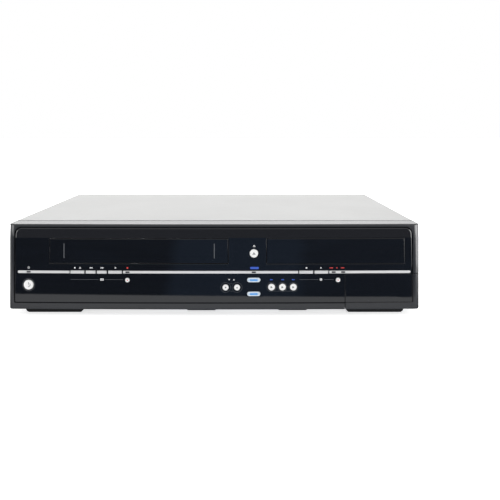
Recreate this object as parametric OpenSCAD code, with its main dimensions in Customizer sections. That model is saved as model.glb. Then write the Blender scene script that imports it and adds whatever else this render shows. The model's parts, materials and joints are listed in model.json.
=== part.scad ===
/* [Body] */
// Width over the front and the cover
body_w = 435; // [430:1:450]
// Height from the floor to the top of the cover
body_h = 99.5; // [99:0.5:112]
// Depth from the middle of the front to the back edge of the cover
body_d = 346; // [344:1:370]
// How far the middle of the front stands ahead of its two ends
bulge = 3.5; // [2:0.25:4.5]
// Height of the feet under the front
foot_h = 7.6; // [7:0.2:10]
// Reach of the rear sockets behind the cover
socket_reach = 9; // [8:0.5:11]

/* [Bezel] */
// Depth of the moulded front, back to the cover
bezel_d = 26.4; // [24:0.2:30]
// Wall of the moulded front
bezel_wall = 2.2; // [1.8:0.1:2.6]
// Depth of the thick rim round the fascia
rim_d = 13; // [11:0.5:14]
// Width of the rim at its sides
rim_side = 5.1; // [4:0.1:6.5]
// Width of the rim at the bottom
rim_bottom = 7.35; // [6:0.05:8]
// Width of the rim at the top
rim_top = 4.8; // [4.5:0.1:5.5]
// Height at which the front starts to lean back
lean_z = 83.6; // [83.4:0.1:86]
// How far the top band leans back, in degrees
lean_angle = 9; // [4:1:12]
// Size of the rounding along the top front edge
top_round = 1.6; // [1:0.1:2]
// How far the moulding's top slopes down towards the front
top_fall = 1.1; // [0.5:0.1:1.4]
// Radius of the two upright front edges
side_round = 4; // [2:0.25:4.2]
// Rounding of the moulding's four corners, seen from the front
corner_r = 2; // [1:0.25:3]
// Groove between the rim and the fascia
groove_w = 0.8; // [0.5:0.1:1.2]

/* [Fascia] */
// Thickness of the gloss fascia
fascia_t = 2.2; // [1.8:0.1:2.6]
// How far the fascia lies behind the rim
fascia_set = 0.6; // [0.3:0.1:1]
// Thickness of the web that carries the fascia
web_t = 2; // [1.6:0.1:2.4]
// Corner radius at the top of the fascia
fascia_r = 6.8; // [4:0.2:9]
// Gap round the cassette door and the tray front
panel_gap = 0.35; // [0.3:0.05:0.5]

/* [Cassette side] */
// Distance of the cassette door's middle from the left side
door_in = 137.3; // [135:0.5:139]
// Width of the cassette door
door_w = 189.8; // [189.4:0.2:191]
// Height of the cassette door
door_h = 26.1; // [25.9:0.1:26.6]
// Middle height of the cassette door and of the disc tray's front
slot_z = 69.7; // [69.4:0.1:70.2]
// Thickness of the door
door_t = 2; // [1.6:0.1:2.4]
// Width of a cassette
cassette_w = 187; // [186:0.5:187.5]
// Height of a cassette
cassette_h = 25; // [24:0.2:25.2]
// Length of the cassette holder
holder_d = 76; // [70:1:78]
// How far the holder carries a cassette back
holder_travel = 75; // [60:1:76]
// How far the holder then lowers it
holder_drop = 20; // [16:0.5:20.5]
// Diameter of the head drum
drum_d = 62; // [60:0.5:63]
// Lean of the head drum, in degrees
drum_lean = 6; // [4:0.5:7]
// Distance between the two reels
reel_gap = 92; // [88:1:96]

/* [Disc side] */
// Distance of the tray front's middle from the right side
tray_in = 88; // [86:0.5:89]
// Width of the tray front
tray_front_w = 147; // [146.6:0.2:148.5]
// Height of the tray front
tray_front_h = 26.7; // [26:0.1:27]
// Width of the disc tray
tray_w = 130; // [128.5:0.5:131]
// Thickness of the disc tray
tray_t = 7; // [6.5:0.5:7.5]
// Diameter of the large disc recess
disc_d = 122; // [120.5:0.5:124]
// Diameter of the small disc recess
small_disc_d = 82; // [81:0.5:86]
// Width of the drive case
drive_w = 146; // [145.6:0.2:148]
// Height of the drive case
drive_h = 42; // [41:0.5:43]
// Depth of the drive case
drive_d = 170; // [168:1:174]
// Module of the rack and of the loading pinion
tooth_module = 1; // [0.9:0.05:1.05]
// Teeth of the loading pinion
pinion_teeth = 18; // [16:1:18]
// Rack pitches in the tray's travel
travel_pitches = 45; // [40:1:45]

/* [Strip and buttons] */
// Height of the trim strip's middle line
strip_z = 47.3; // [46.8:0.1:48]
// Height of the trim strip
strip_h = 3; // [2.6:0.1:3.2]
// Height of the bar buttons in the strip
bar_h = 3.2; // [2.8:0.1:3.4]
// Diameter of the standby button
standby_d = 10.3; // [9:0.1:11]
// Diameter of the open and close button
open_d = 8.8; // [8:0.1:9.5]
// Diameter of the two channel buttons
channel_d = 6.3; // [5.6:0.1:7]
// Diameter of the three dubbing buttons
dub_d = 7.5; // [6.8:0.1:8]
// Diameter of the two record buttons
record_d = 4.6; // [4:0.1:5]
// Width of the two pill-shaped selector buttons
pill_w = 14; // [12:0.5:15]
// Height of the two pill-shaped selector buttons
pill_h = 5.2; // [4.8:0.1:5.8]
// Height of the upper row of buttons under the strip
row_high = 38.9; // [38.5:0.1:39.2]
// Distance of the middle column of buttons from the right side
centre_in = 175.2; // [175:0.1:176]
// Distance between the dubbing buttons
dub_step = 11.6; // [11:0.1:11.8]
// Width of a lamp's window in the strip
lamp_w = 3.8; // [3.4:0.1:4.4]
// Height of a lamp's window in the strip
lamp_h = 1.2; // [1:0.1:1.6]
// Travel of a button
button_travel = 0.8; // [0.5:0.05:0.8]
// How far a button stands out of the fascia
button_proud = 0.9; // [0.8:0.05:1.2]

/* [Front flap] */
// Width of the flap over the front sockets
flap_w = 78.1; // [77:0.1:80]
// Height of the flap's top edge
flap_top = 45.5; // [44.5:0.1:45.5]
// Gap round the flap
flap_gap = 0.3; // [0.25:0.05:0.4]
// Thickness of the flap's front
flap_t = 2.4; // [2:0.1:2.6]
// Depth of the pocket for the front sockets
pocket_d = 17.5; // [17:0.5:19]

/* [Metalwork] */
// Thickness of the cover's sheet
cover_t = 0.8; // [0.6:0.1:1]
// Bend radius of the cover
cover_r = 2.4; // [1.5:0.1:3]
// Thickness of the bottom chassis
pan_t = 1; // [0.8:0.1:1.2]
// Thickness of the rear panel
rear_t = 1; // [0.8:0.1:1.2]
// Width of a ventilation slot
slot_w = 3; // [2.5:0.25:3.5]
// Distance between ventilation slots
slot_step = 7; // [6.5:0.5:8]
// Length of a front foot
front_foot_w = 60; // [54:1:64]
// Diameter of a rear foot
rear_foot_d = 36; // [30:1:40]

/* [Electronics] */
// Thickness of the circuit boards
board_t = 1.6; // [1.2:0.1:1.8]
// Height of the main and power boards above the bottom
board_lift = 8; // [7:0.5:9]
// Width of the hard disk
disk_w = 101.6; // [101:0.2:102]
// Length of the hard disk
disk_l = 147; // [146:0.5:147.5]
// Height of the hard disk
disk_h = 26.1; // [20:0.1:26.5]
// Size of the fan's frame
fan_size = 40; // [38:1:41]
// Thickness of the fan
fan_t = 10; // [9:0.5:11]
// Outer diameter of a phono socket's sleeve
phono_d = 8.3; // [8.2:0.05:8.4]
// Distance between phono sockets
phono_step = 15; // [14:0.5:15.5]

/* [Hidden] */
$fn = 48;
// Thinnest gap between pieces that only rest beside each other
seat = 0.3;
// Radial clearance of a shaft in its bore
fit = 0.05;
// Overhang of a cutting solid
cut = 1;
proud_out = button_proud - fascia_set;
front_y = proud_out - (proud_out + body_d + socket_reach) / 2;
cover_back = front_y + body_d;
socket_end = cover_back + socket_reach;
left_x = -body_w / 2;
right_x = body_w / 2;
bezel_top = body_h - 0.3;
front_top = bezel_top - top_fall;
pan_z = foot_h + 1.2;
floor_z = pan_z + pan_t;
board_z = floor_z + board_lift;
cover_y = front_y + bezel_d + 0.2;
bulge_r = (right_x * right_x + bulge * bulge) / (2 * bulge);
facet_w = 27;
web_set = fascia_set + fascia_t + 0.02;
web_back = web_set + web_t;
deep_set = 24;
key_y = front_y + 20.5;
switch_h = 5;
stem_r = 1.5;
flange_t = 1.2;

// Rim and fascia outline
fascia_x = [left_x + rim_side, right_x - rim_side - 1.2];
fascia_z = [foot_h + rim_bottom, bezel_top - rim_top];

// Cassette side
door_x = left_x + door_in;
door_span = [door_x - door_w / 2, door_x + door_w / 2];
door_rise = [slot_z - door_h / 2, slot_z + door_h / 2];
hinge_y = front_y + 8.6;
hinge_z = door_rise[1] + 8.2;
door_foot = 0.25;
door_drop = 0.6;
arm_w = 1.1;
holder_in = cassette_w / 2 + 0.5;
holder_t = 1;
holder_out = holder_in + holder_t;
slider_in = holder_out + 0.4;
slider_out = slider_in + 1.2;
deck_in = slider_out + 0.4;
deck_out = deck_in + 1.2;
holder_low = slot_z - cassette_h / 2 - 0.3;
holder_high = slot_z + cassette_h / 2 + 0.3;
holder_y = front_y + 43.5;
deck_z = floor_z + 23.2;
deck_t = 1.2;
deck_top = deck_z + deck_t;
deck_wall_top = holder_high + 3.4;
deck_y = front_y + 48;
deck_l = 150;
slider_at = 60;
slider_l = 12;
reel_y = front_y + 137.5;
drum_y = reel_y + 98;
capstan_x = door_x + 55;
capstan_y = drum_y - 44;
pinch_x = capstan_x + 26;
pinch_y = capstan_y + 12;
pinch_open = 30;
pinch_closed_gap = 0.3;
guide_x = 62;
guide_y = drum_y - 22;
guide_reach = 30;
guide_start = 35;
guide_swing = 70;

// Disc side
tray_x = right_x - tray_in;
tray_span = [tray_x - tray_front_w / 2, tray_x + tray_front_w / 2];
tray_rise = [slot_z - tray_front_h / 2, slot_z + tray_front_h / 2];
tray_y = front_y + 11.5;
tray_l = 160;
tray_z = slot_z - 5.7;
disc_y = tray_y + disc_d / 2 + 11;
drive_y = front_y + 13;
drive_low = slot_z - drive_h / 2 - 0.7;
drive_sheet = 1;
mech_z = tray_z - 10.5;
mech_t = 1.5;
tooth_pitch = PI * tooth_module;
pinion_r = pinion_teeth * tooth_module / 2;
pinion_x = tray_x - 50;
pinion_y = tray_y + 16.5;
tray_travel = travel_pitches * tooth_pitch;
tilt_y = disc_y + 74;
frame_z = tray_z - 7.5;
frame_t = 2;
rod_z_at = frame_z + 4.5;
rod_dx = 22;
screw_dx = 27.5;
sled_l = 17;
sled_y = disc_y + 19;
sled_travel = 34;
screw_y = [disc_y + 15, tilt_y];

// Front flap
flap_x = right_x - flap_w;
flap_axis_y = front_y + 8.8;
flap_axis_z = foot_h + 4;
flap_cut = 13.5;
pocket_y = front_y + pocket_d;
pocket_t = 2;
front_socket_x = flap_x + 15;
front_socket_z = foot_h + 16.4;

// Rear
rear_y = cover_back - 2.2;
disk_x = tray_x - 15;
disk_y = drive_y + drive_d + 7.5;
disk_z = drive_low + 10;
fan_x = right_x - 30;
fan_z = slot_z - 24.7;
rear_phono_x = right_x - 115.5;
rear_phono_z = [board_z + 10.2, board_z + 26.2];
scart_x = [door_x + 84.2, right_x - 159.5];
scart_z = board_z + 14.2;
inlet_x = left_x + 32;
inlet_z = board_z + 13.2;
aerial_x = [door_x - 1.8, door_x + 22.2];
aerial_z = board_z + 11.2;

// Boards, legs and screws
SIDE_SCREWS = [cover_y + 60, cover_y + 265];
screw_z = pan_z + pan_t + 8;
REAR_SCREWS = [left_x + 30, 0, right_x - 30];
main_x = [door_x + deck_out + 6.2, right_x - 6];
main_y = [front_y + 94, rear_y - 4];
tuner_side = aerial_x[0] - 22;
power_x = [left_x + 8, left_x + 62];
power_y = [rear_y - 140.45, rear_y - 6];
STANDOFFS = [
  [main_x[0] + 6, main_y[0] + 6], [main_x[1] - 6, main_y[0] + 6],
  [main_x[0] + 6, main_y[1] - 30], [main_x[1] - 6, main_y[1] - 30],
  [power_x[0] + 5, power_y[0] + 5], [power_x[1] - 5, power_y[0] + 5],
  [power_x[0] + 5, power_y[1] - 12], [power_x[1] - 5, power_y[1] - 12],
  [tuner_side + 8, main_y[1] - 30]
];
// Places where a leg passes through the main board
LEGS = [
  for (x = [tray_x - drive_w / 2 + 4, tray_x + drive_w / 2 - 4]) [x, drive_y + drive_d - 14],
  for (s = [-1, 1], y = [disk_y + 20, disk_y + disk_l - 20]) [disk_x + s * (disk_w / 2 + 5), y]
];
leg_w = 6;
leg_t = 1.2;

// Centre of the pinch roller at rest
pinch_l = norm([26, 12 - 7.5 - pinch_closed_gap]);
pinch_a = 180 + atan2(12 - 7.5 - pinch_closed_gap, 26) - pinch_open;
roller_x = pinch_x + pinch_l * cos(pinch_a);
roller_y = pinch_y + pinch_l * sin(pinch_a);

// Each button: shape, x, z, width, height
centre_x = right_x - centre_in;
row_low = row_high - 7.7;
dub_z = row_high - 7.4;
STANDBY = ["round", left_x + 19.9, 33.6, standby_d, standby_d];
TAPE_STOP = ["bar", left_x + 72.4, strip_z, 14.4, bar_h];
TAPE_REWIND = ["bar", left_x + 86.2, strip_z, 10.8, bar_h];
TAPE_FORWARD = ["bar", left_x + 98.1, strip_z, 10.6, bar_h];
TAPE_PLAY = ["bar", left_x + 112.2, strip_z, 14.5, bar_h];
TAPE_RECORD = ["round", left_x + 125.4, row_high, record_d, record_d];
OPEN_CLOSE = ["round", centre_x, 67.3, open_d, open_d];
CHANNEL_DOWN = ["round", centre_x - 30.1, row_low, channel_d, channel_d];
CHANNEL_UP = ["round", centre_x - 17.9, row_low, channel_d, channel_d];
SELECT_TOP = ["pill", centre_x - 0.2, row_high, pill_w, pill_h];
SELECT_LOW = ["pill", centre_x - 0.2, row_high - 14.8, pill_w, pill_h];
DUB_LEFT = ["round", centre_x + 18.7, dub_z, dub_d, dub_d];
DUB_MIDDLE = ["round", centre_x + 18.7 + dub_step, dub_z, dub_d, dub_d];
DUB_RIGHT = ["round", centre_x + 18.7 + 2 * dub_step, dub_z, dub_d, dub_d];
DISC_STOP = ["bar", right_x - 119.7, strip_z, 14.9, bar_h];
DISC_PLAY = ["bar", right_x - 103.5, strip_z, 14.7, bar_h];
DISC_RECORD = ["round", right_x - 85.7, row_high, record_d, record_d];
BUTTONS = [
  STANDBY, TAPE_STOP, TAPE_REWIND, TAPE_FORWARD, TAPE_PLAY, TAPE_RECORD, OPEN_CLOSE,
  CHANNEL_DOWN, CHANNEL_UP, SELECT_TOP, SELECT_LOW, DUB_LEFT, DUB_MIDDLE, DUB_RIGHT,
  DISC_STOP, DISC_PLAY, DISC_RECORD
];
LAMPS = [STANDBY[1], TAPE_RECORD[1] + 0.1, OPEN_CLOSE[1] - 0.1, DISC_RECORD[1] - 4.7, DISC_RECORD[1] + 5.4];
strip_x = [left_x + 8.2, right_x - 8.4];

// Posts that carry the board behind the buttons
KEY_POSTS = [left_x + 35, left_x + 90, left_x + 150, centre_x - 54.3, right_x - 119.5];
key_post_z = 20;

// ---- Shapes used by more than one piece ----

// Span a little past both ends, span on both sides of a middle, span from a place over a length,
// and span from a to b on one side of a middle
function past(v) = [v[0] - cut, v[1] + cut];
function about(middle, half) = [middle - half, middle + half];
function run(from, length) = [from, from + length];
function beside(middle, s, a, b) = s > 0 ? [middle + a, middle + b] : [middle - b, middle - a];

// Box between two x, two y and two z
module span(x, y, z)
  translate([x[0], y[0], z[0]]) cube([x[1] - x[0], y[1] - y[0], z[1] - z[0]]);

// Rods along each axis
module rod_x(y, z, r, x)
  translate([x[0], y, z]) rotate([0, 90, 0]) cylinder(r = r, h = x[1] - x[0]);
module rod_y(x, z, r, y)
  translate([x, y[0], z]) rotate([-90, 0, 0]) cylinder(r = r, h = y[1] - y[0]);
module rod_z(x, y, r, z)
  translate([x, y, z[0]]) cylinder(r = r, h = z[1] - z[0]);

// Outline seen from the front (x, z), drawn out between two y
module front_prism(y)
  translate([0, y[1], 0]) rotate([90, 0, 0]) linear_extrude(y[1] - y[0]) children();

// Outline seen from the side (y, z), drawn out between two x
module side_prism(x)
  translate([x[0], 0, 0]) rotate([90, 0, 90]) linear_extrude(x[1] - x[0]) children();

// Rectangle with rounded corners
module round_rect(x, z, r) {
  translate([x[0] + r, z[0]]) square([x[1] - x[0] - 2 * r, z[1] - z[0]]);
  translate([x[0], z[0] + r]) square([x[1] - x[0], z[1] - z[0] - 2 * r]);
  for (px = [x[0] + r, x[1] - r], pz = [z[0] + r, z[1] - r])
    translate([px, pz]) circle(r);
}

// Slot with round ends along x
module round_slot(x, z, w, h)
  round_rect(about(x, w / 2), about(z, h / 2), h / 2 - 0.001);

// The curved front: y of its face at x, and how far it leans back at z
function skin_y(x) = front_y + bulge_r - sqrt(bulge_r * bulge_r - x * x);
function lean(z) = z <= lean_z ? 0 : (z - lean_z) * tan(lean_angle);
function steps(x) =
  let (first = ceil(x[0] / facet_w + 0.02), last = floor(x[1] / facet_w - 0.02))
  concat([x[0]], [for (i = [first:1:last]) i * facet_w], [x[1]]);

// The upright edges: places along x round a corner, and how far the face has gone back there
round_turns = [0, 15, 30, 45, 60, 75, 90];
function round_steps(r) = [for (a = round_turns) right_x - r + r * sin(a)];
function round_back(x, r) =
  let (over = abs(x) - (right_x - r))
  over <= 0 || r == 0 ? 0 : r - sqrt(max(0, r * r - over * over));
function rounded_ends(x, r) =
  r == 0 ? steps(x) :
  let (
    low = x[0] > left_x ? [x[0]] : [for (v = round_steps(r)) -v],
    high = [for (v = round_steps(r)) v],
    from = max(low),
    middle = [for (v = steps([from, right_x - r])) if (v > from && v < right_x - r) v],
    ordered = [for (i = [len(low) - 1:-1:0]) low[i]]
  )
  concat(ordered, middle, high);
function levels(z, set) =
  z[0] < lean_z && z[1] > lean_z
  ? [[z[0], set], [lean_z, set], [z[1], set + lean(z[1])]]
  : [for (h = z) [h, set + lean(h)]];

// Solid behind the curved front: rings of points at each level, closed by a flat back
module front_block(x, rings, back_y, end_r = 0) {
  xs = rounded_ends(x, end_r);
  m = len(xs) + 2;
  last = len(rings) - 1;
  points = [
    for (ring = rings)
      each concat(
        [for (px = xs) [px, skin_y(px) + round_back(px, end_r) + ring[1], ring[0]]],
        [[x[1], back_y, ring[0]], [x[0], back_y, ring[0]]]
      )
  ];
  sides = [
    for (k = [0:last - 1], i = [0:m - 1])
      let (j = (i + 1) % m)
      [k * m + i, (k + 1) * m + i, (k + 1) * m + j, k * m + j]
  ];
  bottom = [for (i = [0:m - 1]) i];
  top = [for (i = [m - 1:-1:0]) last * m + i];
  polyhedron(points = points, faces = concat([bottom, top], sides), convexity = 4);
}

// Sheet that follows the curved front between two depths behind it
module skin_sheet(x, z, set)
  difference() {
    front_block(x, levels(z, set[0]), front_y + deep_set);
    front_block(
      past(x),
      levels(past(z), set[1]),
      front_y + deep_set + cut
    );
  }

// Outline of the fascia: round at the top, nearly square at the bottom
module fascia_outline(grow) {
  x = [fascia_x[0] - grow, fascia_x[1] + grow];
  z = [fascia_z[0] - grow, fascia_z[1] + grow];
  round_rect(x, z, fascia_r + grow);
  round_rect(x, [z[0], z[1] - 3 * fascia_r], 1 + grow);
}

module button_outline(b, grow) {
  if (b[0] == "round") translate([b[1], b[2]]) circle(d = b[3] + 2 * grow);
  if (b[0] == "pill") round_slot(b[1], b[2], b[3] + 2 * grow, b[4] + 2 * grow);
  if (b[0] == "bar")
    translate([b[1], b[2]]) square([b[3] + 2 * grow, b[4] + 2 * grow], center = true);
}

module lamp_outline(grow)
  for (x = LAMPS)
    translate([x, strip_z]) square([lamp_w + 2 * grow, lamp_h + 2 * grow], center = true);

module door_outline(grow)
  translate([door_span[0] - grow, door_rise[0] - grow])
    square([door_w + 2 * grow, door_h + 2 * grow]);

module tray_outline(grow)
  translate([tray_span[0] - grow, tray_rise[0] - grow])
    square([tray_front_w + 2 * grow, tray_front_h + 2 * grow]);

// ---- Casing ----

// Moulded front: rim, carrying web, socket pocket, hinge lugs, posts and clip tongues
module front_bezel() color([0.16, 0.17, 0.19]) {
  rings = [
    [foot_h, 1], [foot_h + 1, 0], [lean_z, 0],
    for (t = [[1, 0], [0.62, 0.08], [0.29, 0.29], [0.08, 0.62], [0, 1]])
      [front_top - t[0] * top_round, lean(front_top - t[0] * top_round) + t[1] * top_round]
  ];
  slope_y = front_y + bulge + lean(front_top) + top_round;
  pocket_x = [flap_x - 0.5, right_x - bezel_wall];
  pocket_top = flap_top + flap_gap;
  flap_room_y = front_y + flap_cut;
  difference() {
    union() {
      difference() {
        union() {
          front_block([left_x, right_x], rings, front_y + bezel_d, side_round);
          side_prism([left_x, right_x])
            polygon([
              [slope_y, front_top], [front_y + bezel_d, bezel_top],
              [front_y + bezel_d, front_top - bezel_wall / 2], [slope_y, front_top - bezel_wall / 2]
            ]);
        }
        corner_cuts();
        span(
          [left_x + bezel_wall, right_x - bezel_wall],
          [front_y + rim_d, front_y + bezel_d + cut],
          [foot_h + bezel_wall, bezel_top - bezel_wall]
        );
        front_prism(past(run(front_y, rim_d))) fascia_outline(groove_w);
      }
      skin_sheet(
        [fascia_x[0] - groove_w - cut, fascia_x[1] + groove_w + cut],
        [fascia_z[0] - groove_w - cut, fascia_z[1] + groove_w + cut],
        [web_set, web_back]
      );
    }
    // Room for the flap, and windows in the web
    span([flap_x - 0.5, right_x + cut], [front_y - cut, flap_room_y], [foot_h - cut, pocket_top]);
    front_prism([front_y - cut, front_y + rim_d]) {
      door_outline(panel_gap + 0.15);
      translate([0, -door_drop]) door_outline(panel_gap + 0.15);
      tray_outline(panel_gap + 0.05);
      for (b = BUTTONS) button_outline(b, 0.6);
      lamp_outline(0.3);
      for (s = [door_span[0], door_span[1] - arm_w])
        translate([s - 0.6, door_rise[1] - cut]) square([arm_w + 1.2, hinge_z - door_rise[1] + 3.2]);
    }
    rod_x(hinge_y, hinge_z, 1 + fit, [door_span[0] - 4, door_span[1] + 4]);
    rod_x(flap_axis_y, flap_axis_z, 1.2 + fit, [flap_x - 3, flap_x]);
  }
  // Pocket for the front sockets
  difference() {
    union() {
      span(
        [pocket_x[0] - pocket_t, pocket_x[0]],
        [skin_y(flap_x) + web_set + 0.5, pocket_y + pocket_t],
        [foot_h + bezel_wall - 0.5, pocket_top + pocket_t]
      );
      span(
        [pocket_x[0] - pocket_t, right_x - bezel_wall + 0.5],
        [skin_y(right_x) + web_set + 0.5, pocket_y + pocket_t],
        [pocket_top, pocket_top + pocket_t]
      );
      span(
        [pocket_x[0] - pocket_t, right_x - bezel_wall + 0.5],
        [pocket_y, pocket_y + pocket_t],
        [foot_h + bezel_wall - 0.5, pocket_top + pocket_t]
      );
      // Lug for the flap's right pin
      side_prism([right_x - 10, right_x - 8]) {
        translate([flap_axis_y, flap_axis_z]) circle(1.9);
        translate([flap_axis_y, flap_axis_z - 1.4]) square([pocket_y - flap_axis_y + 0.5, 2.8]);
      }
    }
    rod_x(flap_axis_y, flap_axis_z, 1.2 + fit, [pocket_x[0] - pocket_t - cut, right_x]);
    front_prism([front_y, key_y]) lamp_outline(0.3);
    for (i = [0:3])
      rod_y(
        front_socket_x + i * phono_step, front_socket_z, phono_d / 2 + 0.4,
        past(run(pocket_y, pocket_t))
      );
  }
  // Lugs for the cassette door's pins
  for (s = [-1, 1]) {
    lug_x = door_x + s * (door_w / 2 + 1.9);
    difference() {
      span(
        about(lug_x, 1.3),
        [skin_y(lug_x) + lean(hinge_z) + web_back - 0.6, hinge_y + 2.4],
        about(hinge_z, 2.6)
      );
      rod_x(hinge_y, hinge_z, 1 + fit, about(lug_x, 3));
    }
  }
  // Posts that carry the key board
  for (x = KEY_POSTS)
    difference() {
      rod_y(x, key_post_z, 3, [skin_y(x) + web_set + 1, key_y]);
      rod_y(x, key_post_z, 1.1, [key_y - 7, key_y + cut]);
    }
  // Tongues that clip over the bottom chassis
  for (x = [centre_x - 56.3, centre_x + 40.7])
    side_prism(about(x, 15))
      polygon([
        [front_y + bezel_d - 6, foot_h + 0.5], [front_y + bezel_d - 3, foot_h - 1],
        [front_y + bezel_d + 7, foot_h - 1], [front_y + bezel_d + 9, foot_h],
        [front_y + bezel_d + 9, pan_z - 0.1], [front_y + bezel_d, pan_z - 0.1],
        [front_y + bezel_d - 6, foot_h + 1]
      ]);
  // Rim that goes inside the cover
  step_y = [front_y + bezel_d - 2, front_y + bezel_d + 4];
  step_in = cover_t + 0.5;
  step_wall = bezel_wall - 1.1;
  difference() {
    span([left_x + step_in, right_x - step_in], step_y, [pan_z + pan_t + 6, body_h - step_in]);
    span(
      [left_x + step_in + step_wall, right_x - step_in - step_wall],
      past(step_y), [foot_h, body_h - step_in - step_wall]
    );
  }
}

// Material outside the rounded corners of the moulding, seen from the front
module corner_cuts()
  front_prism(past(run(front_y, bezel_d)))
    for (s = [-1, 1], low = [true, false]) {
      r = low ? corner_r : cover_r;
      z = low ? foot_h : bezel_top;
      difference() {
        translate([s * (right_x - r / 2 + cut / 2), z + (low ? 1 : -1) * (r - cut) / 2])
          square([r + cut, r + cut], center = true);
        translate([s * (right_x - r), z + (low ? r : -r)]) circle(r);
      }
    }

// Gloss front panel with its windows, button holes, strip groove and finger rings
module fascia_panel() color([0.02, 0.03, 0.06]) {
  ring_t = 0.5;
  ring_deep = fascia_set + 0.3;
  ring_y = [front_y - cut, front_y + bulge + deep_set];
  difference() {
    intersection() {
      skin_sheet([left_x, right_x], [foot_h, bezel_top], [fascia_set, fascia_set + fascia_t]);
      front_prism(ring_y) fascia_outline(0);
    }
    front_prism(ring_y) {
      door_outline(panel_gap);
      tray_outline(panel_gap);
      for (b = BUTTONS) button_outline(b, 0.25);
      lamp_outline(0.1);
    }
    span([flap_x - flap_gap, right_x], ring_y, [foot_h - cut, flap_top + flap_gap]);
    // Groove that takes the trim strip
    intersection() {
      skin_sheet(
        past(strip_x),
        about(strip_z, strip_h),
        [-cut, fascia_set + 1.2]
      );
      front_prism(ring_y) strip_outline(0.05);
    }
    // Fine rings round the buttons
    for (b = [STANDBY, CHANNEL_DOWN, CHANNEL_UP, DUB_LEFT, DUB_MIDDLE, DUB_RIGHT])
      front_prism([front_y - cut, skin_y(b[1]) + ring_deep])
        difference() {
          button_outline(b, 1.9);
          button_outline(b, 1.9 - ring_t);
        }
  }
}

module strip_outline(grow)
  round_slot(
    (strip_x[0] + strip_x[1]) / 2, strip_z,
    strip_x[1] - strip_x[0] + 2 * grow, strip_h + 2 * grow
  );

// Bright strip in three lengths, with gaps for the bar buttons and holes for the lamps
module trim_strip() color([0.85, 0.86, 0.88])
  difference() {
    intersection() {
      skin_sheet(
        past(strip_x),
        about(strip_z, strip_h),
        [fascia_set - 0.5, fascia_set + 1.15]
      );
      front_prism([front_y - cut, front_y + deep_set]) strip_outline(0);
    }
    front_prism([front_y - 2 * cut, front_y + deep_set + cut]) {
      bar_gap([TAPE_STOP, TAPE_PLAY]);
      bar_gap([DISC_STOP, DISC_PLAY]);
      lamp_outline(0.1);
    }
  }

// Opening in the strip from the first to the last of a row of bar buttons
module bar_gap(row) {
  x0 = row[0][1] - row[0][3] / 2 - 0.7;
  x1 = row[1][1] + row[1][3] / 2 + 0.7;
  translate([x0, strip_z - strip_h]) square([x1 - x0, 2 * strip_h]);
}

// Folded sheet cover with slots in both sides and at the back of the top
module top_cover() color([0.78, 0.79, 0.8]) {
  z0 = pan_z + pan_t + 0.4;
  y = [cover_y, cover_back];
  difference() {
    front_prism(y) {
      difference() {
        union() {
          round_rect([left_x, right_x], [z0 + 20, body_h], cover_r);
          translate([left_x, z0]) square([body_w, 40]);
        }
        union() {
          round_rect(
            [left_x + cover_t, right_x - cover_t], [z0 + 20, body_h - cover_t], cover_r - cover_t
          );
          translate([left_x + cover_t, z0 - cut]) square([body_w - 2 * cover_t, 50]);
        }
      }
    }
    for (s = [-1, 1], i = [0:17], row = [0, 1])
      side_prism(about(s * (right_x - 2), 3))
        translate([cover_y + 110 + i * slot_step, z0 + 18 + row * 26])
          union() {
            square([slot_w, 18]);
            translate([slot_w / 2, 0]) circle(slot_w / 2);
            translate([slot_w / 2, 18]) circle(slot_w / 2);
          }
    for (s = [-1, 1], y = SIDE_SCREWS)
      rod_x(y, screw_z, 1.8, about(s * right_x, 3));
  }
  // Lip folded down over the rear panel
  difference() {
    span(
      [left_x + 6, right_x - 6], [cover_back - cover_t, cover_back], [body_h - 11, body_h - cover_t + 0.1]
    );
    for (x = REAR_SCREWS) rod_y(x, body_h - 6.5, 1.8, about(cover_back, 3));
  }
}

// Steel pan with folded sides, front and back edges, stiffening ribs and board standoffs
module bottom_chassis() color([0.6, 0.61, 0.62]) {
  x = [left_x + cover_t + 0.4, right_x - cover_t - 0.4];
  y = [front_y + bezel_d + 0.3, rear_y];
  difference() {
    union() {
      span(x, y, [pan_z, pan_z + pan_t]);
      for (s = [x[0], x[1] - pan_t]) span([s, s + pan_t], [y[0] + 8, y[1]], [pan_z, pan_z + 13]);
      span([x[0] + 6, x[1] - 6], [y[1] - pan_t, y[1]], [pan_z, pan_z + 9]);
      // Pressed ribs
      for (px = [door_x - 67.8, door_x - 9.8, door_x + 98.2, tray_x - 19.5, tray_x + 35.5])
        span(about(px, 4), [y[0] + 30, y[0] + 120], [pan_z, floor_z + 1.6]);
      // Standoffs
      for (p = STANDOFFS) rod_z(p[0], p[1], 3, [pan_z, board_z]);
    }
    for (s = [x[0] - cut, x[1] - pan_t - cut], y = SIDE_SCREWS)
      rod_x(y, screw_z, 1.3, [s, s + pan_t + 2 * cut]);
    for (p = STANDOFFS) rod_z(p[0], p[1], 1.2, past([pan_z, board_z]));
    // Air slots under the boards
    for (i = [0:11], row = [0, 1])
      translate([tray_x - 69.5 + i * slot_step, row * 40 + rear_y - 146.45, pan_z - cut])
        linear_extrude(pan_t + 2 * cut) round_rect([0, slot_w], [0, 28], slot_w / 2 - 0.001);
  }
}

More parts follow.
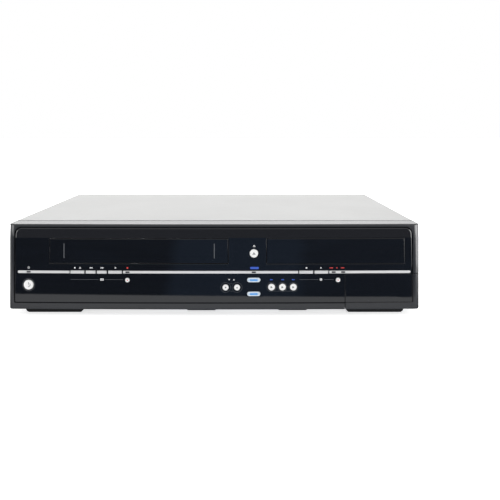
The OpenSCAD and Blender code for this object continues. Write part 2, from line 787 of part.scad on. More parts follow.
// Rear sheet with its fan grille, socket openings and a row of slots
module rear_panel() color([0.6, 0.61, 0.62]) {
  x = [left_x + cover_t + 0.6, right_x - cover_t - 0.6];
  difference() {
    span(x, [rear_y, rear_y + rear_t], [pan_z + 0.2, body_h - cover_t - 0.4]);
    front_prism(past(run(rear_y, rear_t))) {
      // Fan grille: rings crossed by four spokes
      difference() {
        for (r = [5, 9, 13, 17])
          translate([fan_x, fan_z]) difference() {
            circle(r + 1.2);
            circle(r - 1.2);
          }
        for (a = [45, 135])
          translate([fan_x, fan_z]) rotate(a) square([2 * fan_size, 2.2], center = true);
      }
      for (a = [0:90:270])
        translate([fan_x, fan_z]) rotate(a) translate([fan_size * 0.4, fan_size * 0.4]) circle(1.6);
      for (px = scart_x) translate([px, scart_z]) square([41, 15], center = true);
      for (i = [0:2], z = rear_phono_z)
        translate([rear_phono_x + i * phono_step, z]) circle(phono_d / 2 + 0.45);
      for (px = aerial_x) translate([px, aerial_z]) circle(5.2);
      round_rect(about(inlet_x, 9.4), about(inlet_z, 4.9), 2);
      for (i = [0:10]) translate([left_x + 67.5 + i * slot_step, slot_z - 6]) square([slot_w, 22]);
    }
    for (px = REAR_SCREWS) rod_y(px, body_h - 6.5, 1.3, [rear_y - cut, rear_y + 3]);
  }
}

// Wide front feet with leaning sides
module front_feet() color([0.05, 0.05, 0.055])
  for (s = [-1, 1]) {
    x = s * (right_x - 42.5);
    half = front_foot_w / 2;
    y = [front_y + 20, front_y + 60];
    intersection() {
      front_prism(y)
        polygon([
          [x - half + 2.5, 0], [x + half - 2.5, 0], [x + half, 2.5],
          [x + half, pan_z], [x - half, pan_z], [x - half, 2.5]
        ]);
      side_prism(about(x, half))
        polygon([
          [y[0] + 1.5, 0], [y[1] - 3, 0], [y[1], 3], [y[1], pan_z], [y[0] + bezel_d - 19, pan_z],
          [y[0] + bezel_d - 19, foot_h - 0.2], [y[0], foot_h - 0.2], [y[0], 1.5]
        ]);
    }
  }

// Round rear feet, turned, with a hollow under each
module rear_feet() color([0.05, 0.05, 0.055])
  for (s = [-1, 1])
    translate([s * (right_x - 50), cover_back - 45, 0])
      rotate_extrude()
        polygon([
          [5, 1.5], [9, 1.5], [10, 0], [rear_foot_d / 2 - 2.5, 0], [rear_foot_d / 2 - 1, 1.5],
          [rear_foot_d / 2, pan_z], [2, pan_z], [2, 5], [5, 5]
        ]);

// Pan-head screw along +z with a cross recess
module pan_screw(shank)
  difference() {
    rotate_extrude()
      polygon([[0, 0.1], [2.6, 0.1], [3.5, 0.5], [3.5, 1.2], [2.8, 2], [0, 2.2]]);
    translate([0, 0, 2]) cube([3.4, 0.8, 1.6], center = true);
    translate([0, 0, 2]) cube([0.8, 3.4, 1.6], center = true);
  }
module cover_screws() color([0.25, 0.25, 0.26]) {
  for (s = [-1, 1], y = SIDE_SCREWS)
    translate([s * right_x, y, screw_z]) rotate([0, s * 90, 0]) {
      pan_screw();
      translate([0, 0, -3]) cylinder(r = 1.2, h = 3.2);
    }
  for (x = REAR_SCREWS)
    translate([x, cover_back, body_h - 6.5]) rotate([-90, 0, 0]) {
      pan_screw();
      translate([0, 0, -3]) cylinder(r = 1.2, h = 3.2);
    }
}

// ---- Sockets ----

// Phono socket pointing along -y from its mounting face: sleeve, insert and centre hole
module phono(reach) {
  difference() {
    cylinder(d = phono_d, h = reach);
    translate([0, 0, 2]) cylinder(d = phono_d - 1.4, h = reach);
  }
  difference() {
    cylinder(d = phono_d - 2.4, h = reach - 0.6);
    translate([0, 0, 1.5]) cylinder(d = 3.2, h = reach);
  }
}

module front_sockets() color([0.75, 0.72, 0.62]) {
  for (i = [0:3])
    translate([front_socket_x + i * phono_step, pocket_y + pocket_t + 0.2, front_socket_z])
      rotate([90, 0, 0]) phono(10);
  span(
    [front_socket_x - 8, front_socket_x + 3 * phono_step + 8],
    [pocket_y + pocket_t + 0.1, pocket_y + pocket_t + 9],
    about(front_socket_z, 8)
  );
  span(
    [front_socket_x - 10, front_socket_x + 3 * phono_step + 10],
    [pocket_y + pocket_t + 9, pocket_y + pocket_t + 10.6],
    [floor_z, front_socket_z + 11]
  );
}

module rear_sockets() color([0.2, 0.2, 0.21]) {
  for (i = [0:2], z = rear_phono_z)
    translate([rear_phono_x + i * phono_step, rear_y - 0.3, z])
      rotate([-90, 0, 0]) {
        phono(socket_end - rear_y + 0.3);
        difference() {
          cylinder(d = phono_d + 0.5, h = rear_t + 0.5);
          translate([0, 0, 2]) cylinder(d = phono_d - 1.4, h = 9);
          translate([0, 0, -cut]) cylinder(d = 1, h = 9);
        }
      }
  span(
    [rear_phono_x - 7, rear_phono_x + 2 * phono_step + 7],
    [rear_y - 14, rear_y - 0.2], [board_z + board_t, rear_phono_z[1] + 7]
  );
  for (x = scart_x)
    difference() {
      union() {
        span(about(x, 20.2), [rear_y - 14, rear_y + rear_t + 4], about(scart_z, 7.2));
        span(about(x, 20.2), [rear_y - 14, rear_y - 6], [board_z + board_t, scart_z]);
      }
      // Shroud with one slanted corner, and the tongue left in its middle
      difference() {
        front_prism([rear_y - 8, rear_y + rear_t + 4 + cut])
          polygon([
            [x - 18.8, scart_z - 5.8], [x + 15, scart_z - 5.8], [x + 18.8, scart_z - 2],
            [x + 18.8, scart_z + 5.8], [x - 18.8, scart_z + 5.8]
          ]);
        span([x - 16.5, x + 14.5], [rear_y - 9, rear_y + 3], about(scart_z, 1.6));
      }
    }
}

module tuner_box() color([0.72, 0.73, 0.74]) {
  x = [aerial_x[0] - 14, aerial_x[1] + 14];
  z = [board_z + board_t, board_z + board_t + 22];
  difference() {
    span(x, [rear_y - 52, rear_y - 0.3], z);
    for (i = [0:4])
      span([x[0] + 8 + i * 9, x[0] + 12 + i * 9], [rear_y - 44, rear_y - 14], [z[1] - 0.6, z[1] + cut]);
  }
  for (px = aerial_x)
    translate([px, rear_y - 0.4, aerial_z]) rotate([-90, 0, 0])
      difference() {
        union() {
          cylinder(d = 9.5, h = socket_end - rear_y + 0.4);
          cylinder(d = 10.2, h = 4);
        }
        translate([0, 0, 2]) cylinder(d = 6.6, h = socket_reach + 9);
      }
}

// Two-pole mains inlet with its pins
module mains_inlet() color([0.06, 0.06, 0.06]) {
  difference() {
    union() {
      front_prism([rear_y - 18, rear_y + rear_t + 1.6])
        round_rect(about(inlet_x, 9), about(inlet_z, 4.6), 2);
      front_prism([rear_y + rear_t + 0.1, rear_y + rear_t + 1.6])
        round_rect(about(inlet_x, 12), about(inlet_z, 7), 2.5);
      span(about(inlet_x, 8), [rear_y - 17, rear_y - 8], [board_z + board_t, inlet_z]);
    }
    front_prism([rear_y - 12, rear_y + rear_t + 3]) round_slot(inlet_x, inlet_z, 14.6, 7.2);
  }
  for (s = [-1, 1]) rod_y(inlet_x + s * 3.3, inlet_z, 1.2, [rear_y - 12.5, rear_y + rear_t - 0.5]);
}

// ---- Boards and inner parts ----

module main_board() color([0.1, 0.35, 0.18]) {
  difference() {
    union() {
      span(main_x, main_y, [board_z, board_z + board_t]);
      span([tuner_side, main_x[0] + 1], [rear_y - 62, main_y[1]], [board_z, board_z + board_t]);
    }
    for (p = LEGS)
      span(
        [p[0] - leg_t / 2 - 1.6, p[0] + leg_t / 2 + 1.6], [p[1] - leg_w / 2 - 2, p[1] + leg_w / 2 + 2],
        past(run(board_z, board_t))
      );
  }
  top = board_z + board_t;
  // Processor with a finned heat sink
  sink_x = tray_x - 46.5;
  sink_y = main_y[0] + 41.35;
  span([sink_x + 2, sink_x + 38], [sink_y + 2, sink_y + 38], [top, top + 2.4]);
  difference() {
    span([sink_x, sink_x + 40], [sink_y, sink_y + 40], [top + 2.4, top + 16]);
    for (i = [0:7])
      span(run(sink_x + 2.8 + i * 4.7, 2.5), past(run(sink_y, 40)), [top + 5, top + 17]);
  }
  // Chips: place from the board's left or right front corner, and size
  for (p = [[25.8, 33.35, 22, 22], [41.8, 69.35, 13, 12], [5.8, 119.35, 18, 18]])
    span(run(main_x[0] + p[0], p[2]), run(main_y[0] + p[1], p[3]), [top, top + 1.8]);
  for (p = [[61.5, 33.35, 28, 14], [61.5, 63.35, 20, 20]])
    span(run(main_x[1] - p[0], p[2]), run(main_y[0] + p[1], p[3]), [top, top + 1.8]);
  // Capacitors and connectors
  for (i = [0:4]) rod_z(main_x[0] + 15.8, main_y[0] + 23.35 + i * 12, 3.2, [top, top + 11]);
  for (i = [0:2]) span(run(tray_x - 29.5 + i * 22, 16), run(main_y[0] + 143.35, 6), [top, top + 9]);
}

module power_board() color([0.45, 0.36, 0.2]) {
  span(power_x, power_y, [board_z, board_z + board_t]);
  top = board_z + board_t;
  x0 = power_x[0];
  y0 = power_y[0];
  // Transformer: core and winding
  span([x0 + 12, x0 + 42], [y0 + 50, y0 + 62], [top, top + 26]);
  span([x0 + 12, x0 + 42], [y0 + 74, y0 + 86], [top, top + 26]);
  span([x0 + 16, x0 + 38], [y0 + 61, y0 + 75], [top + 3, top + 23]);
  // Reservoir capacitors
  rod_z(x0 + 16, y0 + 102, 9, [top, top + 32]);
  for (i = [0:2]) rod_z(x0 + 12 + i * 14, y0 + 14, 5, [top, top + 20]);
  // Finned heat sink
  difference() {
    span([x0 + 8, x0 + 46], [y0 + 28, y0 + 42], [top, top + 28]);
    for (i = [0:5]) span([x0 + 11 + i * 6, x0 + 14 + i * 6], [y0 + 27, y0 + 37], [top + 4, top + 29]);
  }
  // Line filter
  span([x0 + 32, x0 + 50], [y0 + 94, y0 + 112], [top, top + 20]);
}

// Board behind the buttons, with a switch for each and light guides to the strip
module key_board() color([0.12, 0.3, 0.2]) {
  difference() {
    union() {
      span([left_x + 9, flap_x - 4.5], [key_y, key_y + board_t], [foot_h + 6, strip_z + 4.5]);
      span([centre_x - 11.3, centre_x + 11.7], [key_y, key_y + board_t], [strip_z, OPEN_CLOSE[2] + 8.7]);
    }
    for (x = KEY_POSTS) rod_y(x, key_post_z, 1.3, past(run(key_y, board_t)));
  }
  for (b = BUTTONS) {
    span(about(b[1], 3), [key_y - switch_h + 1.5, key_y], [b[2] - 2.4, b[2] + 2.4]);
    rod_y(b[1], b[2], 1.4, [key_y - switch_h, key_y - switch_h + 2]);
  }
  for (x = LAMPS)
    span(
      about(x, lamp_w / 2),
      [skin_y(x) + fascia_set - 0.2, key_y], about(strip_z, lamp_h / 2)
    );
}

module hard_drive() color([0.66, 0.67, 0.68]) {
  x = about(disk_x, disk_w / 2);
  y = [disk_y, disk_y + disk_l];
  z = disk_z + 0.3;
  // Casting, waisted along its sides
  difference() {
    span(x, y, [z + 1.6, z + disk_h - 4]);
    for (s = [x[0] - 10, x[1] - 2]) span([s, s + 12], [y[0] + 35, y[1] - 35], [z + 8, z + disk_h]);
  }
  // Lid with its raised bearing boss
  translate([0, 0, z + disk_h - 4]) linear_extrude(2.8)
    round_rect([x[0] + 1.5, x[1] - 1.5], [y[0] + 1.5, y[1] - 1.5], 5);
  rod_z(disk_x, y[0] + 52, 42, [z + disk_h - 2, z + disk_h]);
  // Controller board
  span([x[0] + 2, x[1] - 2], [y[0] + 4, y[1] - 8], [z, z + 1.6]);
}

module drive_bracket() color([0.7, 0.71, 0.72]) {
  x = [disk_x - disk_w / 2 - 5 - leg_t / 2, disk_x + disk_w / 2 + 5 + leg_t / 2];
  difference() {
    span(x, [disk_y + 4, disk_y + disk_l - 4], [disk_z - leg_t, disk_z]);
    for (i = [0:4])
      translate([disk_x, disk_y + 24 + i * 25, disk_z - leg_t - cut])
        linear_extrude(leg_t + 2 * cut) round_slot(0, 0, 70, 10);
  }
  for (p = LEGS)
    if (p[1] > disk_y)
      span(about(p[0], leg_t / 2), about(p[1], leg_w / 2), [floor_z, disk_z]);
}

module fan_frame() color([0.08, 0.08, 0.09]) {
  y = [rear_y - fan_t - 0.2, rear_y - 0.2];
  half = fan_size / 2;
  difference() {
    front_prism(y) round_rect(about(fan_x, half), about(fan_z, half), 3);
    rod_y(fan_x, fan_z, half - 1.2, past(y));
    for (a = [0:90:270])
      translate([fan_x, y[0] - cut, fan_z]) rotate([0, a, 0]) translate([fan_size * 0.4, 0, fan_size * 0.4])
        rotate([-90, 0, 0]) cylinder(r = 1.6, h = fan_t + 2 * cut);
  }
  // Three struts and the motor plate with its shaft
  for (a = [0, 120, 240])
    translate([fan_x, y[0], fan_z]) rotate([0, a, 0]) translate([5, 0, -1]) cube([half - 5.5, 1.6, 2]);
  rod_y(fan_x, fan_z, 8, [y[0], y[0] + 1.6]);
  rod_y(fan_x, fan_z, 1.5, [y[0], y[1] - 2]);
}

module fan_rotor() color([0.1, 0.1, 0.11]) {
  y = [rear_y - fan_t + 1.8, rear_y - 1];
  difference() {
    union() {
      rod_y(fan_x, fan_z, 9, y);
      intersection() {
        for (i = [0:6])
          translate([fan_x, (y[0] + y[1]) / 2, fan_z]) rotate([0, i * 360 / 7, 0]) translate([12.7, 0, 0])
            rotate([38, 0, 0]) cube([9, 1.1, 9], center = true);
        rod_y(fan_x, fan_z, fan_size / 2 - 2.2, [y[0] + 0.3, y[1] - 0.5]);
      }
    }
    rod_y(fan_x, fan_z, 1.5 + fit, [y[0] - cut, y[1] - 1.2]);
  }
}

// ---- Tape deck ----

// Folded deck: plate, side walls with their guide slots, posts, legs and bearings
module deck_frame() color([0.7, 0.71, 0.72]) {
  wall_y = [holder_y - 4, deck_y + deck_l + 2];
  slot_y = [holder_y + slider_at + 1, holder_y + slider_at + slider_l - 1 + holder_travel];
  difference() {
    union() {
      span(about(door_x, deck_out), [deck_y, deck_y + deck_l], [deck_z, deck_top]);
      span([door_x - 75, door_x + 84], [deck_y + deck_l - 1, drum_y + 40], [deck_z, deck_top]);
      for (s = [-1, 1])
        side_prism(beside(door_x, s, deck_in, deck_out))
          polygon([
            [wall_y[0], deck_wall_top - 26], [deck_y, deck_z], [deck_y + deck_l, deck_z],
            [wall_y[1], deck_wall_top - 8], [wall_y[1] - 6, deck_wall_top], [wall_y[0], deck_wall_top]
          ]);
      // Legs down to the chassis
      for (dx = [-84, 84], y = [deck_y + 14, deck_y + deck_l - 14])
        rod_z(door_x + dx, y, 4, [floor_z, deck_z + 0.1]);
      // Reel posts, pivots of the guides and of the pinch arm
      for (s = [-1, 1]) rod_z(door_x + s * reel_gap / 2, reel_y, 2, [deck_top - 0.5, deck_top + 11]);
      for (s = [-1, 1]) rod_z(door_x + s * guide_x, guide_y, 2, [deck_top - 0.5, deck_top + 3.4]);
      rod_z(pinch_x, pinch_y, 2, [deck_top - 0.5, deck_top + 14]);
      rod_z(capstan_x, capstan_y, 4.5, [deck_z - 4, deck_top + 4]);
      // Fixed full-width erase head and control head blocks
      span([door_x - 50, door_x - 42], [drum_y + 8, drum_y + 18], [deck_top - 0.5, deck_top + 20]);
      span([door_x + 42, door_x + 50], [drum_y + 6, drum_y + 16], [deck_top - 0.5, deck_top + 20]);
    }
    for (s = [-1, 1])
      side_prism(about(door_x + s * (deck_in + 0.6), 2))
        round_rect(slot_y, [holder_high - 5.7, holder_high - 2.3], 1.69);
    rod_z(capstan_x, capstan_y, 1.5 + fit, [deck_z - 6, deck_top + 6]);
    rod_z(door_x, drum_y, drum_d / 2 - 6, past([deck_z, deck_top]));
    // Lightening windows in the plate
    for (s = [-1, 1])
      span(run(door_x + s * 30 - 22, 44), [deck_y + 8, deck_y + 50], past([deck_z, deck_top]));
  }
}

// Rests on the deck and leans with the drum's axis
module on_drum_axis()
  translate([door_x, drum_y, deck_top]) rotate([-drum_lean, 0, 0]) children();

module lower_drum() color([0.75, 0.76, 0.78]) {
  rod_z(door_x, drum_y, drum_d / 2 + 1, [deck_top, deck_top + 3]);
  difference() {
    on_drum_axis() {
      difference() {
        cylinder(d = drum_d, h = 13.5);
        // Groove that guides the tape's lower edge
        translate([0, 0, 8]) difference() {
          cylinder(d = drum_d + 2, h = 0.8);
          translate([0, 0, -cut]) cylinder(d = drum_d - 0.8, h = 3);
        }
      }
      cylinder(r = 3, h = 34);
    }
    translate([0, 0, deck_top - 20]) cylinder(r = 400, h = 20);
  }
}

module upper_drum() color([0.82, 0.83, 0.85])
  on_drum_axis()
    difference() {
      union() {
        translate([0, 0, 13.9]) cylinder(d = drum_d, h = 12);
        translate([0, 0, 25.9]) cylinder(d = drum_d - 18, h = 4);
        // Six head tips
        for (i = [0:5]) rotate(i * 60) translate([drum_d / 2 - 1, -0.8, 14.6]) cube([1.06, 1.6, 0.8]);
      }
      translate([0, 0, 13]) cylinder(r = 3 + fit, h = 20);
      for (i = [0:5]) rotate(i * 60 + 30) translate([20, 0, 26.5]) cylinder(r = 1, h = 5);
      // Windows by the heads
      for (i = [0:5]) rotate(i * 60) translate([drum_d / 2 - 3, -2, 13]) difference() {
        cube([4, 4, 1.5]);
        translate([0, 1.2, 0]) cube([5, 1.6, 3]);
      }
    }

module capstan() color([0.8, 0.81, 0.83]) {
  rod_z(capstan_x, capstan_y, 1.5, [deck_z - 9, deck_top + 24]);
  difference() {
    rod_z(capstan_x, capstan_y, 24, [deck_z - 10, deck_z - 4.4]);
    for (a = [0:60:300])
      rod_z(capstan_x + 15 * cos(a), capstan_y + 15 * sin(a), 4, [deck_z - 11, deck_z - 4]);
    rod_z(capstan_x, capstan_y, 1.45, [deck_z - 11, deck_z - 9.5]);
  }
}

module pinch_arm() color([0.72, 0.73, 0.74]) {
  z = [deck_top + 3.8, deck_top + 5.8];
  difference() {
    union() {
      rod_z(pinch_x, pinch_y, 4, [deck_top + 0.3, deck_top + 13]);
      translate([pinch_x, pinch_y, z[0]]) rotate(pinch_a)
        translate([0, -2.5, 0]) cube([pinch_l, 5, z[1] - z[0]]);
      rod_z(roller_x, roller_y, 3.2, z);
      rod_z(roller_x, roller_y, 1.2, [z[0], deck_top + 21]);
    }
    rod_z(pinch_x, pinch_y, 2 + fit, [deck_top, deck_top + 14.5]);
  }
}

module pinch_roller() color([0.06, 0.06, 0.06])
  difference() {
    union() {
      rod_z(roller_x, roller_y, 6, [deck_top + 7, deck_top + 19]);
      rod_z(roller_x, roller_y, 2.6, [deck_top + 6.1, deck_top + 20]);
    }
    rod_z(roller_x, roller_y, 1.2 + fit, [deck_top + 5.9, deck_top + 22]);
  }

// Reel table with three splines and a toothed rim
module reel_table(x) {
  difference() {
    union() {
      rod_z(x, reel_y, 18, [deck_top + 0.4, deck_top + 2]);
      rod_z(x, reel_y, 12, [deck_top + 0.4, deck_top + 3.4]);
      rod_z(x, reel_y, 5.5, [deck_top + 0.4, deck_top + 13]);
      for (i = [0:2])
        translate([x, reel_y, deck_top + 3]) rotate(i * 120) translate([5, -1, 0]) cube([3, 2, 8]);
      for (i = [0:35])
        translate([x, reel_y, deck_top + 0.4]) rotate(i * 10)
          translate([17.6, -0.7, 0]) cube([1.4, 1.4, 1.6]);
    }
    rod_z(x, reel_y, 2 + fit, [deck_top, deck_top + 11.6]);
  }
}
module supply_reel() color([0.85, 0.85, 0.8]) reel_table(door_x - reel_gap / 2);
module take_up_reel() color([0.85, 0.85, 0.8]) reel_table(door_x + reel_gap / 2);

// Arm that pulls the tape out to the drum, with a roller post and a slanted pin
module guide_arm(s)
  translate([door_x + s * guide_x, guide_y, deck_top + 0.4]) mirror([s > 0 ? 1 : 0, 0, 0])
    rotate(-guide_start) difference() {
      union() {
        cylinder(r = 4.4, h = 2.6);
        translate([0, -2.4, 0]) cube([guide_reach, 4.8, 1.8]);
        translate([guide_reach, 0, 0]) cylinder(r = 3.6, h = 1.8);
        translate([guide_reach, 0, 0]) cylinder(r = 1.2, h = 22);
        translate([guide_reach, 0, 4]) cylinder(r = 2.8, h = 14);
        translate([guide_reach, 0, 19]) cylinder(r = 3, h = 1.6);
        translate([guide_reach - 6, 0, 1]) rotate([0, -8, 0]) cylinder(r = 1, h = 18);
      }
      translate([0, 0, -cut]) cylinder(r = 2 + fit, h = 5);
    }
module entry_guide() color([0.78, 0.78, 0.8]) guide_arm(-1);
module exit_guide() color([0.78, 0.78, 0.8]) guide_arm(1);

module loading_motor() color([0.6, 0.61, 0.63]) {
  x = door_x - 48;
  z = deck_top + 14;
  // Motor lying along x, its bracket and its worm
  intersection() {
    rod_x(drum_y + 24, z, 11, [x - 34, x - 8]);
    span([x - 40, x], [drum_y + 10, drum_y + 40], about(z, 9));
  }
  span([x - 32, x - 6.5], [drum_y + 12, drum_y + 36], [deck_top, z - 8.5]);
  rod_x(drum_y + 24, z, 1.2, [x - 8.5, x + 3]);
  for (i = [0:4]) rod_x(drum_y + 24, z, 2.6, [x - 6 + i * 1.6, x - 5.2 + i * 1.6]);
}

// Carriage that slides along the deck's guide slots and carries the holder
module holder_slider() color([0.3, 0.31, 0.33]) {
  y = [holder_y + slider_at, holder_y + slider_at + slider_l];
  z = [holder_low - holder_drop + 22, deck_wall_top + 3];
  difference() {
    union() {
      for (s = [-1, 1])
        span(beside(door_x, s, slider_in, slider_out), y, z);
      // Studs in the deck's slots
      for (s = [-1, 1], dy = [3, 9])
        rod_x(y[0] + dy, holder_high - 4, 1.5, beside(door_x, s, slider_out - 0.5, deck_out + 1));
      // Bar across the top of both walls
      span(about(door_x, deck_out), y, [deck_wall_top + seat, deck_wall_top + 3]);
    }
    // Upright slots for the holder's pins
    for (s = [-1, 1])
      side_prism(about(door_x + s * slider_in, 3))
        round_rect([y[0] + 4.35, y[0] + 7.65], [z[0] + 2, z[0] + 5.4 + holder_drop], 1.64);
  }
}

// Sheet holder that takes the cassette: two rails, side walls, top plate and springs
module cassette_holder() color([0.74, 0.75, 0.76]) {
  y = [holder_y, holder_y + holder_d];
  pin_z = holder_low - holder_drop + 22 + 2 + 1.7 + holder_drop;
  for (s = [-1, 1]) {
    span(beside(door_x, s, holder_in, holder_out), y, [holder_low - holder_t, holder_high + holder_t]);
    span(beside(door_x, s, holder_in - 12, holder_in), y, [holder_low - holder_t, holder_low]);
    rod_x(holder_y + slider_at + slider_l / 2, pin_z, 1.5, beside(door_x, s, holder_in, slider_out));
  }
  difference() {
    span([door_x - holder_in - 0.1, door_x + holder_in + 0.1], y, [holder_high, holder_high + holder_t]);
    translate([0, 0, holder_high - cut]) linear_extrude(holder_t + 2 * cut) {
      round_rect([door_x - 70, door_x - 12], [y[0] + 16, y[1] - 14], 4);
      round_rect([door_x + 12, door_x + 70], [y[0] + 16, y[1] - 14], 4);
    }
  }
}

// Door that swings in and up as a cassette is pushed against it
module cassette_door() color([0.02, 0.03, 0.06]) {
  face = [fascia_set + 0.15, fascia_set + 0.15 + door_t];
  intersection() {
    skin_sheet(past(door_span), past(door_rise), face);
    front_prism([front_y - cut, front_y + deep_set])
      translate([door_span[0], door_rise[0] + door_foot]) square([door_w, door_h - door_foot]);
  }
  for (s = [-1, 1]) {
    x0 = s > 0 ? door_span[1] - arm_w : door_span[0];
    back = skin_y(s > 0 ? door_span[1] : door_span[0]) + face[0] + 0.6;
    side_prism([x0, x0 + arm_w]) {
      translate([back, door_rise[1] - 9]) square([hinge_y + 1.9 - back, 9]);
      translate([hinge_y - 1.9, door_rise[1] - 5]) square([3.8, hinge_z - door_rise[1] + 5]);
      translate([hinge_y, hinge_z]) circle(1.9);
    }
    rod_x(hinge_y, hinge_z, 1, beside(door_x, s, door_w / 2 - 0.5, door_w / 2 + 3));
  }
}

// ---- Disc drive ----

module drive_case() color([0.7, 0.71, 0.72]) {
  x = about(tray_x, drive_w / 2);
  y = [drive_y, drive_y + drive_d];
  z = [drive_low, drive_low + drive_h];
  s = drive_sheet;
  rail_in = tray_w / 2 - 1;
  difference() {
    span(x, y, z);
    span([x[0] + s, x[1] - s], [y[0] - cut, y[1] - s], [z[0] + s, z[1] - s]);
    // Notch that clears the key board
    span(past(x), [y[0] - cut, key_y + board_t + 1.5], [z[0] - cut, strip_z + 5.5]);
    // Stiffening window in the floor and slots in the lid
    for (i = [0:6])
      translate([tray_x - 45 + i * 15, y[0] + 120, z[1] - s - cut])
        linear_extrude(s + 2 * cut) round_rect([-2, 2], [0, 30], 1.99);
  }
  // Tray rails, below and above the tray's edges
  for (d = [-1, 1], rail = [[tray_z - 1.8, tray_z - seat], [tray_z + tray_t + seat, tray_z + tray_t + 1.8]])
    span(beside(tray_x, d, rail_in, drive_w / 2 - s / 2), [y[0] + 3, y[1] - 4], rail);
  // Mechanism plate with the traverse's opening and hinge lugs
  difference() {
    span([x[0] + s / 2, x[1] - s / 2], [y[0] + 3, y[1] - 4], [mech_z, mech_z + mech_t]);
    span(about(tray_x, 33.5), [disc_y - 38, tilt_y + 10], past(run(mech_z, mech_t)));
  }
  for (d = [-1, 1])
    difference() {
      span(beside(tray_x, d, 31, 37), about(tilt_y, 4), [mech_z, frame_z + 4]);
      rod_x(tilt_y, frame_z + 1, 1.5 + fit, about(tray_x + d * 34, 5));
    }
  // Pinion post
  rod_z(pinion_x, pinion_y, 1.5, [mech_z, tray_z - 0.6]);
  // Legs down to the chassis, front and back
  for (px = [x[0] + 4, x[1] - 4], py = [y[0] + 30, y[1] - 14])
    if (py > y[0] + 60 || px < flap_x)
      span(about(px, leg_t / 2), about(py, leg_w / 2), [floor_z, z[0] + s / 2]);
}

// Tooth of the rack or the pinion along +x: pairs of a height and the height that sets its width,
// both in modules from the pitch line
tooth_play = 0.16;
function tooth_half(h) = tooth_pitch / 4 - tooth_play / 2 - h * tooth_module * tan(20);
module tooth(rows)
  polygon(concat(
    [for (i = [0:len(rows) - 1]) [rows[i][0] * tooth_module, -tooth_half(rows[i][1])]],
    [for (i = [len(rows) - 1:-1:0]) [rows[i][0] * tooth_module, tooth_half(rows[i][1])]]
  ));

module disc_tray() color([0.09, 0.09, 0.1]) {
  x = about(tray_x, tray_w / 2);
  y = [tray_y, tray_y + tray_l];
  z = [tray_z, tray_z + tray_t];
  slot_r = 18;
  difference() {
    span(x, y, z);
    rod_z(tray_x, disc_y, disc_d / 2, [z[1] - 2.6, z[1] + cut]);
    rod_z(tray_x, disc_y, small_disc_d / 2, [z[1] - 4.2, z[1] + cut]);
    // Opening for the turntable and the pickup, open to the back
    rod_z(tray_x, disc_y, slot_r, past(z));
    span(about(tray_x, slot_r), [disc_y, y[1] + cut], past(z));
    // Finger notches beside the disc and hollow corners under the tray
    for (s = [-1, 1]) rod_z(tray_x + s * 58, y[0] + 8, 10, [z[1] - 2.6, z[1] + cut]);
    for (s = [-1, 1])
      span(about(tray_x + s * 34, 13), [y[1] - 30, y[1] - 6], [z[0] - cut, z[1] - 2]);
  }
  // Toothed rack under the left edge
  rack_x = pinion_x - pinion_r;
  root = rack_x - 1.25 * tooth_module;
  rack_z = [z[0] - 5.5, z[0] + 0.2];
  rack_y0 = pinion_y - 3 * tooth_pitch;
  span([root - 3.2, root], [rack_y0 - 2, rack_y0 + (travel_pitches + 6) * tooth_pitch + 2], rack_z);
  translate([0, 0, rack_z[0]]) linear_extrude(rack_z[1] - rack_z[0])
    for (i = [0:travel_pitches + 6])
      translate([rack_x, rack_y0 + i * tooth_pitch])
        tooth([[-1.3, -1.25], [1, 1]]);
}

module tray_front() color([0.02, 0.03, 0.06]) {
  difference() {
    intersection() {
      front_block(
        past(tray_span),
        levels(past(tray_rise), fascia_set + 0.15), tray_y - 0.05
      );
      front_prism([front_y - cut, tray_y]) tray_outline(0);
    }
    span(
      [tray_span[0] + 1.8, tray_span[1] - 1.8],
      [skin_y(tray_span[1]) + fascia_set + 2.4, tray_y + cut], [tray_rise[0] + 1.8, tray_rise[1] - 1.8]
    );
  }
  // Pads that clip to the tray
  for (s = [-1, 1])
    span(
      about(tray_x + s * 44, 9),
      [skin_y(tray_span[1]) + fascia_set + 2, tray_y - 0.05], [tray_z + 0.3, tray_z + tray_t - 0.3]
    );
}

// Loading pinion on an upright post: teeth of the rack's module
module loading_pinion() color([0.85, 0.85, 0.8])
  difference() {
    union() {
      rod_z(pinion_x, pinion_y, 4, [mech_z + mech_t + seat, tray_z - 0.5]);
      translate([pinion_x, pinion_y, tray_z - 5.3]) linear_extrude(4.8) {
        circle(pinion_r - 1.25 * tooth_module);
        for (i = [0:pinion_teeth - 1])
          rotate(180 + (i + 0.5) * 360 / pinion_teeth) translate([pinion_r, 0])
            tooth([[-1.5, -0.9], [0, 0], [0.6, 0.72], [0.95, 1.35]]);
      }
    }
    rod_z(pinion_x, pinion_y, 1.5 + fit, [mech_z, tray_z]);
  }

